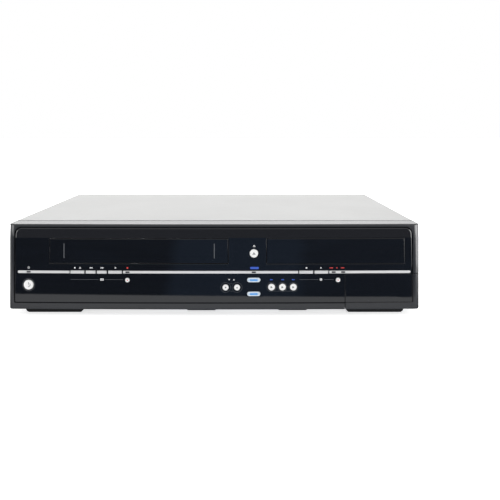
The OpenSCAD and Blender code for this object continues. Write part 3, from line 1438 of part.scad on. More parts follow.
// Tilting frame with the pickup's rods, the spindle's bearing and the screw's lugs
module traverse_frame() color([0.5, 0.51, 0.53]) {
  y = [disc_y - 31, tilt_y + 5];
  lug_z = [frame_z + frame_t - 0.5, rod_z_at + 1.8];
  difference() {
    union() {
      span(about(tray_x, 30), y, [frame_z, frame_z + frame_t]);
      rod_z(tray_x, disc_y, 6, [frame_z - 4, frame_z + 4.5]);
      rod_z(tray_x, disc_y, 12, [frame_z - 3, frame_z + 0.1]);
      for (ly = [screw_y[0] - 3, screw_y[1] - 3]) {
        span([tray_x - 24.5, tray_x - 19.5], [ly, ly + 3], lug_z);
        span([tray_x + 19.5, tray_x + 30], [ly, ly + 3], lug_z);
      }
      for (s = [-1, 1]) rod_y(tray_x + s * rod_dx, rod_z_at, 1.5, [screw_y[0] - 3, screw_y[1]]);
      rod_x(tilt_y, frame_z + 1, 1.5, about(tray_x, 36.5));
    }
    span(
      about(tray_x, 18.5), [screw_y[0] + 1, tilt_y - 4], past(run(frame_z, frame_t))
    );
    rod_z(tray_x, disc_y, 1.5 + fit, [frame_z - 5, frame_z + 6]);
    rod_y(tray_x + screw_dx, rod_z_at, 1 + fit, [screw_y[0] - 4, screw_y[1] + 1]);
    for (s = [-1, 1]) rod_z(tray_x + s * 22, disc_y - 22, 3, past(run(frame_z, frame_t)));
  }
}

module turntable() color([0.2, 0.2, 0.21]) {
  rod_z(tray_x, disc_y, 1.5, [frame_z - 3.6, tray_z + 5]);
  rod_z(tray_x, disc_y, 11, [frame_z + 4.9, tray_z + 0.5]);
  rod_z(tray_x, disc_y, 14, [tray_z + 3.6, tray_z + 5.4]);
  rod_z(tray_x, disc_y, 5, [tray_z, tray_z + 4]);
  translate([tray_x, disc_y, tray_z + 5.4]) cylinder(r1 = 7.4, r2 = 6.2, h = 2.2);
}

module pickup_sled() color([0.13, 0.13, 0.14]) {
  y = [sled_y, sled_y + sled_l];
  z = [frame_z + 0.7, rod_z_at + 2.2];
  difference() {
    union() {
      span(about(tray_x, 17.5), y, z);
      span(about(tray_x, 25.2), y, [frame_z + frame_t + seat, z[1]]);
      rod_z(tray_x, sled_y + 6, 4.5, [z[1] - 0.1, z[1] + 2.6]);
      rod_z(tray_x, sled_y + 6, 2.6, [z[1] + 2.5, z[1] + 3.2]);
    }
    for (s = [-1, 1]) rod_y(tray_x + s * rod_dx, rod_z_at, 1.5 + fit, past(y));
  }
}

// Screw that moves the pickup: journals, thread rings and a gear
module leadscrew() color([0.8, 0.8, 0.82])
  translate([tray_x + screw_dx, 0, rod_z_at]) rotate([-90, 0, 0]) {
    translate([0, 0, screw_y[0] - 3.3]) cylinder(r = 1, h = screw_y[1] - screw_y[0] + 3.6);
    translate([0, 0, screw_y[0] + 0.4]) cylinder(r = 1.3, h = screw_y[1] - screw_y[0] - 3.8);
    rings = floor((screw_y[1] - screw_y[0] - 5) / 2);
    for (i = [0:rings - 1])
      translate([0, 0, screw_y[0] + 0.9 + i * 2]) rotate_extrude()
        polygon([[1, 0], [1.8, 0.4], [1.8, 0.8], [1, 1.2]]);
    translate([0, 0, screw_y[0] - 6.3]) difference() {
      cylinder(r = 2.2, h = 3);
      for (i = [0:11]) rotate(i * 30) translate([2.25, 0, -cut]) cylinder(r = 0.3, h = 5);
    }
  }

// ---- Front flap ----

// Corner of the front that folds down over the sockets: rim, gloss face, ears and pins
module socket_flap() color([0.03, 0.035, 0.06]) {
  x = [flap_x, right_x];
  z = [foot_h, flap_top];
  face_x = fascia_x[1];
  groove_x = face_x + groove_w;
  groove_z = fascia_z[0] - groove_w;
  wall_y = flap_axis_y + 4.2;
  rings = [[z[0], 1], [z[0] + 1, 0], [z[1], 0]];
  difference() {
    front_block(x, rings, wall_y, side_round);
    corner_cuts();
    // Inside of the flap, and its lower flange cut back clear of the lug
    span(
      [x[0] - cut, x[1] - bezel_wall],
      [skin_y(right_x) + flap_t + 0.4, wall_y + cut], [z[0] + 1.9, z[1] + cut]
    );
    span([x[0] - cut, x[1] - bezel_wall], [flap_axis_y - 2.3, wall_y + cut], [z[0] - cut, z[0] + 3]);
    span([x[1] - 3, x[1] + cut], [flap_axis_y + 1.5, wall_y + cut], [z[0] - cut, flap_axis_z]);
    // Gloss face set back behind the rim, with its groove
    intersection() {
      skin_sheet([x[0] - 2 * cut, groove_x], [groove_z, z[1] + cut], [-cut, fascia_set]);
      span([x[0] - 3 * cut, x[1]], [front_y - cut, front_y + deep_set], z * 2);
    }
    groove_deep = [fascia_set - 0.2, fascia_set + 0.6];
    skin_sheet([x[0] - 2 * cut, groove_x], [groove_z, fascia_z[0]], groove_deep);
    skin_sheet([face_x, groove_x], [groove_z, z[1] + cut], groove_deep);
  }
  // Ears with pins into the pocket's wall and lug
  for (ex = [[x[0] + 0.7, x[0] + 2.3, x[0] - 2.2], [right_x - 7.6, right_x - 6, right_x - 9.8]]) {
    side_prism([ex[0], ex[1]]) {
      translate([flap_axis_y, flap_axis_z]) circle(1.9);
      translate([skin_y(x[0]) + 1.5, flap_axis_z - 1.9]) square([flap_axis_y - skin_y(x[0]) - 1.5, 3.8]);
    }
    rod_x(flap_axis_y, flap_axis_z, 1.2, [ex[2], ex[1]]);
  }
}

// ---- Buttons ----

// Cap, retaining flange and stem down to the switch
module press_button(b) {
  y = skin_y(b[1]) + fascia_set;
  back = skin_y(b[1]) + web_back + seat;
  bevel = 0.35;
  if (b[0] == "round") {
    rod_y(b[1], b[2], b[3] / 2, [y - button_proud + bevel, back + 0.1]);
    translate([b[1], y - button_proud, b[2]]) rotate([-90, 0, 0])
      cylinder(r1 = b[3] / 2 - bevel, r2 = b[3] / 2, h = bevel);
    rod_y(b[1], b[2], b[3] / 2 + 1.2, [back, back + flange_t]);
  } else {
    front_prism([y - button_proud, back + 0.1]) button_outline(b, 0);
    tab = b[0] == "bar" ? 0 : 1.2;
    translate([b[1], (2 * back + flange_t) / 2, b[2]])
      cube([b[3] + 2 * tab, flange_t, b[4] + 3], center = true);
  }
  rod_y(b[1], b[2], stem_r, [back + 0.5, key_y - switch_h - button_travel - 0.1]);
}
module silver_button(b) color([0.88, 0.89, 0.9]) press_button(b);
module standby_button() silver_button(STANDBY);
module tape_stop_button() silver_button(TAPE_STOP);
module tape_rewind_button() silver_button(TAPE_REWIND);
module tape_forward_button() silver_button(TAPE_FORWARD);
module tape_play_button() silver_button(TAPE_PLAY);
module tape_record_button() silver_button(TAPE_RECORD);
module open_close_button() silver_button(OPEN_CLOSE);
module channel_down_button() silver_button(CHANNEL_DOWN);
module channel_up_button() silver_button(CHANNEL_UP);
module select_top_button() silver_button(SELECT_TOP);
module select_low_button() silver_button(SELECT_LOW);
module dub_left_button() silver_button(DUB_LEFT);
module dub_middle_button() silver_button(DUB_MIDDLE);
module dub_right_button() silver_button(DUB_RIGHT);
module disc_stop_button() silver_button(DISC_STOP);
module disc_play_button() silver_button(DISC_PLAY);
module disc_record_button() silver_button(DISC_RECORD);

front_bezel();
fascia_panel();
trim_strip();
top_cover();
bottom_chassis();
rear_panel();
front_feet();
rear_feet();
cover_screws();
front_sockets();
rear_sockets();
tuner_box();
mains_inlet();
main_board();
power_board();
key_board();
hard_drive();
drive_bracket();
fan_frame();
fan_rotor();
deck_frame();
lower_drum();
upper_drum();
capstan();
pinch_arm();
pinch_roller();
supply_reel();
take_up_reel();
entry_guide();
exit_guide();
loading_motor();
holder_slider();
cassette_holder();
cassette_door();
drive_case();
disc_tray();
tray_front();
loading_pinion();
traverse_frame();
turntable();
pickup_sled();
leadscrew();
socket_flap();
standby_button();
tape_stop_button();
tape_rewind_button();
tape_forward_button();
tape_play_button();
tape_record_button();
open_close_button();
channel_down_button();
channel_up_button();
select_top_button();
select_low_button();
dub_left_button();
dub_middle_button();
dub_right_button();
disc_stop_button();
disc_play_button();
disc_record_button();
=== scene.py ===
# %% [markdown]
# # A video cassette and disc recorder
# This lesson dresses a imported CAD model of a wide, low recorder. The CAD model holds every solid and
# every joint. Here the parts that people look at get rounded edges, smooth curves and real finishes.
# We work in millimetres inside the helpers, because that is how such a case is drawn, and turn them
# into metres only when a mesh is written.

# %% Start: load the frame and its record
import json
import math
import bmesh
import bpy
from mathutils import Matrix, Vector


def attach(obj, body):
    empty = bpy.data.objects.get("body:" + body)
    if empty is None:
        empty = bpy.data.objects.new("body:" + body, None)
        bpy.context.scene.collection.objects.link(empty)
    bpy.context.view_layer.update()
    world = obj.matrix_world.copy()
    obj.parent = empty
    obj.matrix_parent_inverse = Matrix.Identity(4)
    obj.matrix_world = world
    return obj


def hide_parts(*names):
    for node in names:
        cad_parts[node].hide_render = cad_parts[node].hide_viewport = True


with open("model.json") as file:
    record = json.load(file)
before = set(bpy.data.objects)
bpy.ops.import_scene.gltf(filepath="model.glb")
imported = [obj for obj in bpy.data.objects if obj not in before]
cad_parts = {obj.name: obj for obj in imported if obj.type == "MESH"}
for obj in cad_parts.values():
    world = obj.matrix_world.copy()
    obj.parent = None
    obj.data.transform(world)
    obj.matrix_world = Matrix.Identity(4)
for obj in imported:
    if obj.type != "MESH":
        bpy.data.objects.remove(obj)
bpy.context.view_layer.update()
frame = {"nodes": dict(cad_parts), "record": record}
scene = bpy.context.scene
MM = 0.001

# %% [markdown]
# ## The numbers of the case
# The whole front bulges forward by a few millimetres, as one very large arc, and its top band leans
# back. Both rules are functions of the place on the front, so every panel, button and printed mark can
# ask them how deep it has to lie. That is easier than bending finished pieces with a modifier, and the
# pieces then meet exactly.

# %% Sizes in millimetres
# The case: x runs to the right, y to the back and z up from the table
WIDTH, HEIGHT, DEPTH = 435.0, 99.5, 346.0
LEFT, RIGHT = -WIDTH / 2, WIDTH / 2
FRONT = 0.3 - (0.3 + DEPTH + 9.0) / 2
BACK = FRONT + DEPTH
BULGE = 3.5
ARC = (RIGHT ** 2 + BULGE ** 2) / (2 * BULGE)
LEAN_FROM, LEAN_ANGLE = 83.6, math.radians(9)
FOOT = 7.6
PAN = FOOT + 1.2
BEZEL_DEPTH = 26.4
COVER_FRONT = FRONT + BEZEL_DEPTH + 0.2

# The gloss panel, and what is let into it: boxes are (x0, x1, z0, z1)
FASCIA_X = (LEFT + 5.1, RIGHT - 6.3)
FASCIA_Z = (FOOT + 7.35, HEIGHT - 5.1)
FASCIA_SET, FASCIA_T, FASCIA_R = 0.6, 2.2, 6.8
GAP = 0.45
SLOT_Z = 69.7
DOOR_X = LEFT + 137.3
DOOR = (DOOR_X - 94.9, DOOR_X + 94.9, SLOT_Z - 13.05, SLOT_Z + 13.05)
DOOR_FOOT = 0.25
HINGE_Y, HINGE_Z = FRONT + 8.6, SLOT_Z + 13.05 + 8.2
TRAY_X = RIGHT - 88.0
TRAY = (TRAY_X - 73.5, TRAY_X + 73.5, SLOT_Z - 13.35, SLOT_Z + 13.35)
TRAY_Y, TRAY_Z, TRAY_T = FRONT + 11.5, SLOT_Z - 5.7, 7.0
STRIP_Z, STRIP_H = 47.3, 2.8
STRIP_X = (LEFT + 8.2, RIGHT - 8.4)
FLAP_X, FLAP_TOP, FLAP_GAP, FLAP_EASE = RIGHT - 78.1, 45.5, 0.3, 0.25
SIGN_HIGH, SIGN_LOW = 51.8, 39.4

# The boards behind it
KEY_Y = FRONT + 20.5
BOARD_Z, BOARD_T = PAN + 9, 1.6


def skin(x):
    """Depth of the front's outer surface at a place along its width."""
    return FRONT + ARC - math.sqrt(ARC ** 2 - x * x)


def lean(z):
    """How far the leaning top band has gone back at a height."""
    return max(0.0, z - LEAN_FROM) * math.tan(LEAN_ANGLE)


print("bulge:", round(skin(RIGHT) - skin(0), 2), "mm; lean at the top:", round(lean(HEIGHT), 2), "mm")

# %% [markdown]
# ## Camera
# The camera comes first, so that every later look at the work is the same. A long lens, level with the
# horizon and shifted down, keeps the upright edges upright, as a product photographer does it.

# %% Camera
def link_object(name, data):
    """A new object around its data, in the scene."""
    obj = bpy.data.objects.new(name, data)
    scene.collection.objects.link(obj)
    return obj


camera = link_object("camera", bpy.data.cameras.new("camera"))
camera.location = (0.027, -0.98835, 0.201)
camera.rotation_euler = (math.radians(90), 0, 0)
camera.data.sensor_width = 36.0
camera.data.lens = 55.04
camera.data.shift_x = 0.021
camera.data.shift_y = -0.245
camera.data.clip_start, camera.data.clip_end = 0.02, 60.0
scene.camera = camera
print("lens:", round(camera.data.lens, 1), "mm")

# %% [markdown]
# ## Shared effects for the finishes
# Moulded plastic, sheet metal and paint all have small faults that change over the surface: a fine
# texture, a cloudy change of tone, and faint smears that make the gloss uneven. Each of these is made
# once, as a shader node group with its own inputs, and each finish uses them with its own values.
# The groups put out plain numbers, so that the finish itself keeps the Principled shader.


# %% Helper: add a node and wire it in one line
def add_node(tree, kind, wires=None, **settings):
    """A node whose inputs are values, other nodes' output sockets, or a list of such sockets."""
    node = tree.nodes.new(kind)
    for name, value in settings.items():
        setattr(node, name, value)
    for key, value in (wires or {}).items():
        for item in value if isinstance(value, list) else [value]:
            if isinstance(item, bpy.types.NodeSocket):
                tree.links.new(item, node.inputs[key])
            else:
                node.inputs[key].default_value = item
    return node


# %% Helper: the four small steps that every finish is built from
def add_math(tree, operation, first, second=0.0, clamp=False):
    return add_node(tree, "ShaderNodeMath", {0: first, 1: second}, operation=operation,
                    use_clamp=clamp).outputs[0]


def add_vector_math(tree, operation, first, second=(0, 0, 0)):
    return add_node(tree, "ShaderNodeVectorMath", {0: first, 1: second}, operation=operation).outputs[0]


def ramp(tree, value, low, high, to_low=0.0, to_high=1.0):
    """A value that goes from to_low to to_high while the input goes from low to high."""
    return add_node(tree, "ShaderNodeMapRange", {"Value": value, "From Min": low, "From Max": high,
                                                 "To Min": to_low, "To Max": to_high}).outputs[0]


def blend(tree, factor, first, second):
    """From the first colour to the second by a factor; a colour is (r, g, b) or a socket."""
    first, second = ((*c, 1) if isinstance(c, tuple) else c for c in (first, second))
    return add_node(tree, "ShaderNodeMix", {"Factor": factor, "A": first, "B": second},
                    data_type="RGBA").outputs["Result"]


# %% Helper: start a shader group, and send values to its outputs
def start_group(name, inputs, outputs):
    """An empty shader group with number or vector inputs (name, value) and number outputs."""
    group = bpy.data.node_groups.new(name, "ShaderNodeTree")
    for label, value in inputs:
        kind = "NodeSocketVector" if isinstance(value, tuple) else "NodeSocketFloat"
        group.interface.new_socket(name=label, in_out="INPUT", socket_type=kind).default_value = value
    for label in outputs:
        group.interface.new_socket(name=label, in_out="OUTPUT", socket_type="NodeSocketFloat")
    return group, group.nodes.new("NodeGroupInput").outputs, group.nodes.new("NodeGroupOutput")


def give(group, result, **values):
    """Wires the group's outputs, and says how large the group has become."""
    for label, value in values.items():
        group.links.new(value, result.inputs[label])
    print("group", group.name, "gives", list(values), "from", len(group.nodes), "nodes")


def object_place(tree):
    return add_node(tree, "ShaderNodeTexCoord").outputs["Object"]


def per_metre(tree, size_mm):
    """How often a pattern of this size repeats in a metre."""
    return add_math(tree, "DIVIDE", 1000.0, size_mm)


def noise(tree, place, scale, detail, roughness, **more):
    wires = {"Vector": place, "Scale": scale, "Detail": detail, "Roughness": roughness, **more}
    return add_node(tree, "ShaderNodeTexNoise", wires).outputs["Fac"]


# %% Group: the fine texture that a mould leaves
moulded_texture, given, result = start_group(
    "moulded_texture", [("Grain Size", 0.6), ("Depth", 1.0)], ["Height", "Speckle"])
place = object_place(moulded_texture)
often = per_metre(moulded_texture, given["Grain Size"])
cells = add_node(moulded_texture, "ShaderNodeTexVoronoi", {"Vector": place, "Scale": often})
cloud = noise(moulded_texture, place, often, 3.0, 0.6)
both = add_math(moulded_texture, "ADD", cells.outputs["Distance"], cloud)
give(moulded_texture, result, Height=add_math(moulded_texture, "MULTIPLY", both, given["Depth"]),
     Speckle=cloud)

# %% Group: clouds of tone, and smears left by hands and cloths
handled_surface, given, result = start_group(
    "handled_surface", [("Patch Size", 40.0), ("Smear", 0.5)], ["Tone", "Smear"])
place = object_place(handled_surface)
often = per_metre(handled_surface, given["Patch Size"])
turned_place = add_node(handled_surface, "ShaderNodeMapping",
                        {"Vector": place, "Rotation": (0.3, 0.5, 0.4), "Scale": (1.0, 1.0, 6.0)})
wiped = noise(handled_surface, turned_place.outputs[0], often, 6.0, 0.7, Distortion=0.6)
smear = add_math(handled_surface, "MULTIPLY", ramp(handled_surface, wiped, 0.42, 0.72), given["Smear"])
give(handled_surface, result, Tone=noise(handled_surface, place, often, 4.0, 0.55), Smear=smear)

# %% Group: the long fine lines of rolled, ground or turned metal
STRETCH = ["Along X", "Along Y", "Along Z"]
drawn_lines, given, result = start_group(
    "drawn_lines", [(label, 1.0) for label in STRETCH] + [("Line Size", 0.4)], ["Height", "Shade"])
stretch = add_node(drawn_lines, "ShaderNodeCombineXYZ", {i: given[label] for i, label in enumerate(STRETCH)})
stretched = add_vector_math(drawn_lines, "MULTIPLY", object_place(drawn_lines), stretch.outputs[0])
lines = noise(drawn_lines, stretched, per_metre(drawn_lines, given["Line Size"]), 3.0, 0.7)
give(drawn_lines, result, Height=lines, Shade=lines)

# %% [markdown]
# ## Finishes
# Every finish is one Principled shader. Its colour moves between two near tones, its roughness rises
# where the surface is smeared, and its bump comes from the mould's texture or from the metal's lines.
# A number that is the same all over the surface, such as the coat, is set on the shader itself.


# %% Helper: a finish from its colour, gloss and texture
def finish(name, colour, second, gloss, grain=(0.6, 0.02), patch=40.0, smear=0.5, lines=None, **shader):
    """gloss is (clean, smeared) roughness, grain is (size mm, bump strength), lines is a stretch."""
    material = bpy.data.materials.new(name)
    material.use_nodes = True
    tree = material.node_tree
    principled = tree.nodes["Principled BSDF"]
    handled = add_node(tree, "ShaderNodeGroup", {"Patch Size": patch, "Smear": smear},
                       node_tree=handled_surface)
    if lines:
        texture = add_node(tree, "ShaderNodeGroup", {**dict(zip(STRETCH, lines)), "Line Size": grain[0]},
                           node_tree=drawn_lines)
    else:
        texture = add_node(tree, "ShaderNodeGroup", {"Grain Size": grain[0]}, node_tree=moulded_texture)
    speckle = texture.outputs["Shade" if lines else "Speckle"]
    tone = add_math(tree, "MULTIPLY", add_math(tree, "ADD", handled.outputs["Tone"], speckle), 0.5)
    bump = add_node(tree, "ShaderNodeBump",
                    {"Height": texture.outputs["Height"], "Strength": grain[1], "Distance": 0.0004})
    tree.links.new(blend(tree, tone, colour, second), principled.inputs["Base Color"])
    tree.links.new(ramp(tree, handled.outputs["Smear"], 0.0, 1.0, *gloss), principled.inputs["Roughness"])
    tree.links.new(bump.outputs[0], principled.inputs["Normal"])
    for socket, value in shader.items():
        principled.inputs[socket.replace("_", " ")].default_value = value
    return material


# %% Plastics of the front
satin_grey = finish("satin_grey", (0.018, 0.019, 0.022), (0.024, 0.025, 0.029), (0.18, 0.27), (0.35, 0.03),
                    IOR=1.55)
gloss_black = finish("gloss_black", (0.005, 0.0054, 0.0075), (0.0062, 0.0066, 0.009), (0.035, 0.07),
                     (3.0, 0.004), smear=0.35, IOR=1.6)
silver_plastic = finish("silver_plastic", (0.75, 0.75, 0.76), (0.79, 0.79, 0.79), (0.2, 0.3), (0.25, 0.02),
                        Metallic=0.15, Coat_Weight=0.4)
white_button = finish("white_button", (0.89, 0.895, 0.89), (0.92, 0.92, 0.91), (0.22, 0.34), (0.3, 0.02),
                      Coat_Weight=0.3)
lit_pill = finish("lit_pill", (0.64, 0.74, 0.84), (0.72, 0.79, 0.86), (0.18, 0.3), (0.4, 0.02),
                  Coat_Weight=0.5)
white_ink, grey_ink, red_ink, blue_ink = (
    finish(name, colour, second, (0.4, 0.5), (0.1, 0.05)) for name, colour, second in (
        ("white_ink", (0.72, 0.73, 0.74), (0.8, 0.8, 0.8)),
        ("grey_ink", (0.09, 0.095, 0.105), (0.12, 0.125, 0.135)),
        ("red_ink", (0.55, 0.035, 0.03), (0.65, 0.05, 0.04)),
        ("blue_ink", (0.03, 0.09, 0.5), (0.05, 0.13, 0.6))))
dim_ink = finish("dim_ink", (0.045, 0.05, 0.06), (0.06, 0.065, 0.075), (0.3, 0.4), (0.1, 0.05))
sky_ink = finish("sky_ink", (0.07, 0.3, 0.75), (0.12, 0.4, 0.85), (0.35, 0.45), (0.1, 0.05))
lamp_lens = finish("lamp_lens", (0.008, 0.008, 0.01), (0.03, 0.03, 0.035), (0.12, 0.2), (0.4, 0.02))
print("finishes of the front:", len(bpy.data.materials))

# %% Metals and the inner plastics
cover_paint = finish("cover_paint", (0.49, 0.49, 0.482), (0.52, 0.52, 0.512), (0.38, 0.48), (0.22, 0.05),
                     patch=90.0, Specular_IOR_Level=0.3)
plated_sheet = finish("plated_sheet", (0.5, 0.51, 0.52), (0.62, 0.63, 0.64), (0.3, 0.5), (0.5, 0.05),
                      lines=(0.05, 1.0, 1.0), Metallic=0.9)
foot_rubber = finish("foot_rubber", (0.01, 0.01, 0.011), (0.016, 0.016, 0.017), (0.6, 0.75), (0.5, 0.1),
                     Specular_IOR_Level=0.3)
black_steel = finish("black_steel", (0.03, 0.03, 0.032), (0.06, 0.06, 0.062), (0.3, 0.45), (0.3, 0.05),
                     Metallic=0.8)
socket_black = finish("socket_black", (0.022, 0.022, 0.024), (0.035, 0.035, 0.038), (0.4, 0.55), (0.4, 0.06))
nickel = finish("nickel", (0.62, 0.6, 0.56), (0.72, 0.7, 0.66), (0.18, 0.3), (0.3, 0.03), Metallic=1.0)
tin_plate = finish("tin_plate", (0.55, 0.56, 0.57), (0.68, 0.69, 0.7), (0.25, 0.42), (0.5, 0.04),
                   lines=(1.0, 0.05, 1.0), Metallic=0.95)
board_green = finish("board_green", (0.015, 0.12, 0.045), (0.03, 0.2, 0.07), (0.3, 0.45), (1.2, 0.15),
                     patch=6.0, Coat_Weight=0.3)
board_amber = finish("board_amber", (0.3, 0.19, 0.07), (0.4, 0.27, 0.11), (0.4, 0.55), (0.8, 0.1), patch=12.0)
cast_alloy = finish("cast_alloy", (0.42, 0.43, 0.44), (0.55, 0.56, 0.57), (0.35, 0.55), (0.7, 0.12),
                    Metallic=0.9)
turned_alloy = finish("turned_alloy", (0.66, 0.67, 0.69), (0.8, 0.81, 0.83), (0.14, 0.26), (0.3, 0.05),
                      lines=(0.05, 0.05, 1.0), Metallic=1.0)
ground_steel = finish("ground_steel", (0.6, 0.61, 0.62), (0.74, 0.75, 0.77), (0.12, 0.24), (0.2, 0.04),
                      lines=(0.2, 0.2, 1.0), Metallic=1.0)
natural_nylon = finish("natural_nylon", (0.68, 0.66, 0.58), (0.76, 0.74, 0.67), (0.35, 0.5), (0.4, 0.05))
filled_black = finish("filled_black", (0.018, 0.018, 0.02), (0.032, 0.032, 0.035), (0.38, 0.55), (0.5, 0.08))
roller_rubber = finish("roller_rubber", (0.012, 0.012, 0.012), (0.02, 0.02, 0.02), (0.6, 0.75), (0.3, 0.1))
PHONO = {name: finish("phono_" + name, colour, second, (0.3, 0.42), (0.4, 0.04)) for name, colour, second in (
    ("yellow", (0.75, 0.5, 0.02), (0.82, 0.57, 0.04)), ("white", (0.75, 0.75, 0.73), (0.82, 0.82, 0.8)),
    ("red", (0.55, 0.02, 0.02), (0.65, 0.035, 0.03)))}
print("all finishes:", len(bpy.data.materials))

# %% [markdown]
# ## Turning mesh code into pieces
# A finished piece sits at the origin with its place in its mesh, exactly like a CAD node, so patterns
# on object coordinates stay put. Two things make hard parts look real: a small rounded edge that
# catches the light, and normals weighted by area so that big faces stay flat right up to that edge.


# %% Helper: from a bmesh in millimetres to a mesh in metres
def write_mesh(name, bm):
    for vert in bm.verts:
        vert.co *= MM
    mesh = bpy.data.meshes.new(name)
    bm.to_mesh(mesh)
    bm.free()
    return mesh


# %% Helper: from a mesh to a shaded piece that rides on its body
BEVEL_FROM = math.radians(35)


def hand_over(piece, body, stands_for, smooth_angle, bevel=0.0):
    """Rounds the edges by bevel mm, shades the piece smooth up to its corners, and gives it to the frame."""
    mesh = piece.data
    mesh.polygons.foreach_set("use_smooth", [True] * len(mesh.polygons))
    mesh.set_sharp_from_angle(angle=math.radians(smooth_angle))
    if bevel:
        rounded = piece.modifiers.new("rounded_edges", "BEVEL")
        rounded.width = bevel * MM
        rounded.segments = 2
        rounded.limit_method = "ANGLE"
        rounded.angle_limit = BEVEL_FROM
    piece.modifiers.new("weighted_normals", "WEIGHTED_NORMAL").keep_sharp = True
    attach(piece, body)
    if stands_for:
        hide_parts(*stands_for)
    print(piece.name + ":", len(mesh.polygons), "faces, on", body)
    return piece


def make_piece(name, bm, body, material, stands_for=(), smooth_angle=40, bevel=0.0):
    """A piece in one finish, from a bmesh in millimetres."""
    piece = link_object(name, write_mesh(name, bm))
    piece.data.materials.append(material)
    return hand_over(piece, body, stands_for, smooth_angle, bevel)


# %% [markdown]
# ### Outlines
# A panel starts as a closed outline seen from the front, counter-clockwise. Corners get true arcs. To
# round the edge of the panel later, the same outline is moved inwards a little for each step of the
# rounding, so it has to be a plain list of points that we can offset.


# %% Helper: outlines seen from the front
def rounded_outline(corners, radii, steps=7):
    """Corner points with an arc at each, for outward and inward corners alike."""
    if isinstance(radii, (int, float)):
        radii = [radii] * len(corners)
    points = []
    for i, corner in enumerate(corners):
        here = Vector(corner)
        before = (Vector(corners[i - 1]) - here).normalized()
        after = (Vector(corners[(i + 1) % len(corners)]) - here).normalized()
        radius = radii[i]
        if radius <= 0:
            points.append((here.x, here.y))
            continue
        half = before.angle(after) / 2
        centre = here + (before + after).normalized() * (radius / math.sin(half))
        first = here + before * (radius / math.tan(half)) - centre
        last = here + after * (radius / math.tan(half)) - centre
        turn = first.angle_signed(last)
        start = math.atan2(first.y, first.x)
        for k in range(steps + 1):
            angle = start - turn * k / steps
            points.append((centre.x + radius * math.cos(angle), centre.y + radius * math.sin(angle)))
    return points


def box_outline(x0, x1, z0, z1, radius=0.0, steps=5):
    return rounded_outline([(x0, z0), (x1, z0), (x1, z1), (x0, z1)], radius, steps)


def round_outline(x, z, radius, count=48):
    angles = [2 * math.pi * i / count for i in range(count)]
    return [(x + radius * math.cos(a), z + radius * math.sin(a)) for a in angles]


def pill_outline(x, z, width, height):
    return box_outline(x - width / 2, x + width / 2, z - height / 2, z + height / 2, height / 2 - 0.01, 12)


# %% Helper: an outline moved inwards
def offset_outline(points, inwards):
    """The outline moved inwards by a distance, or outwards if it is negative."""
    moved = []
    for i, point in enumerate(points):
        here, before, after = Vector(point), Vector(points[i - 1]), Vector(points[(i + 1) % len(points)])
        edge_in, edge_out = (here - before).normalized(), (after - here).normalized()
        normal_in, normal_out = Vector((-edge_in.y, edge_in.x)), Vector((-edge_out.y, edge_out.x))
        shift = (normal_in + normal_out) / max(0.2, 1 + normal_in.dot(normal_out)) * inwards
        moved.append((here.x + shift.x, here.y + shift.y))
    return moved


# %% [markdown]
# ### A panel on the curved front
# The panel is built flat: walls between stacked outlines, with a few outlines close together for the
# rounded edge, and filled faces at the front and back. Then it is sliced across its width every few
# millimetres, and only after that does each point move to the front's arc. Slicing first matters,
# because a long flat triangle can't bend.


# %% Helper: a flat panel with rounded edges
def add_panel(bm, outer, holes, front, back, edge=0.4, hole_edge=None, steps=3, low_edge=1.0):
    """A closed flat shell with rounded front edges, into bm; low_edge scales the rounding below."""
    middle = (min(z for _, z in outer) + max(z for _, z in outer)) / 2

    def wall(points, sign, rounding):
        profile = [(0.0, back)]
        for k in range(steps + 1 if rounding else 1):
            angle = math.radians(90 * k / steps)
            profile.append((rounding * (1 - math.cos(angle)), front + rounding * (1 - math.sin(angle))))
        if not rounding:
            profile[1] = (0.0, front)
        rings = []
        for inset, depth in profile:
            ring = offset_outline(points, sign * inset) if inset else points
            made = []
            for (x0, z0), (x, z) in zip(points, ring):
                part = low_edge if sign > 0 and z0 < middle and rounding else 1.0
                y = depth if depth == back else front + (depth - front) * part
                made.append(bm.verts.new((x0 + (x - x0) * part, y, z0 + (z - z0) * part)))
            rings.append(made)
        for low, high in zip(rings, rings[1:]):
            for i in range(len(low)):
                j = (i + 1) % len(low)
                bm.faces.new((low[i], low[j], high[j], high[i]))
        return rings

    hole_edge = edge if hole_edge is None else hole_edge
    stacks = [wall(outer, 1, edge)] + [wall(hole, -1, hole_edge) for hole in holes]
    for level in (0, -1):
        edges = []
        for rings in stacks:
            ring = rings[level]
            edges += [bm.edges.get((ring[i], ring[(i + 1) % len(ring)])) for i in range(len(ring))]
        bmesh.ops.triangle_fill(bm, use_beauty=True, edges=edges)


# %% Helper: flat shells moved to the bulging, leaning front
SLICE, LEAN_SOFT = 9.0, 0.35


def bend_to_front(bm, slice_lean=True):
    """Slices the flat shells across their width, then moves every point to the curved front."""
    xs, zs = [v.co.x for v in bm.verts], [v.co.z for v in bm.verts]
    cuts = [(Vector((SLICE * k, 0, 0)), Vector((1, 0, 0)))
            for k in range(math.ceil(min(xs) / SLICE), math.floor(max(xs) / SLICE) + 1)]
    if slice_lean and max(zs) > LEAN_FROM > min(zs):
        cuts += [(Vector((0, 0, LEAN_FROM + d)), Vector((0, 0, 1))) for d in (-LEAN_SOFT, LEAN_SOFT)]
    for at, normal in cuts:
        bmesh.ops.bisect_plane(bm, geom=bm.verts[:] + bm.edges[:] + bm.faces[:],
                               plane_co=at, plane_no=normal, dist=0.0005)
    bmesh.ops.recalc_face_normals(bm, faces=bm.faces[:])
    for vert in bm.verts:
        vert.co.y += skin(vert.co.x) + lean(vert.co.z)
    return bm


# %% [markdown]
# ### Blocks and turned solids
# Arms, lugs and flanges are plain blocks with a small bevel. Caps, pins, stems and screws are turned:
# a profile of radii is swept round an axis, with its ends on that axis, so that the solid is closed.


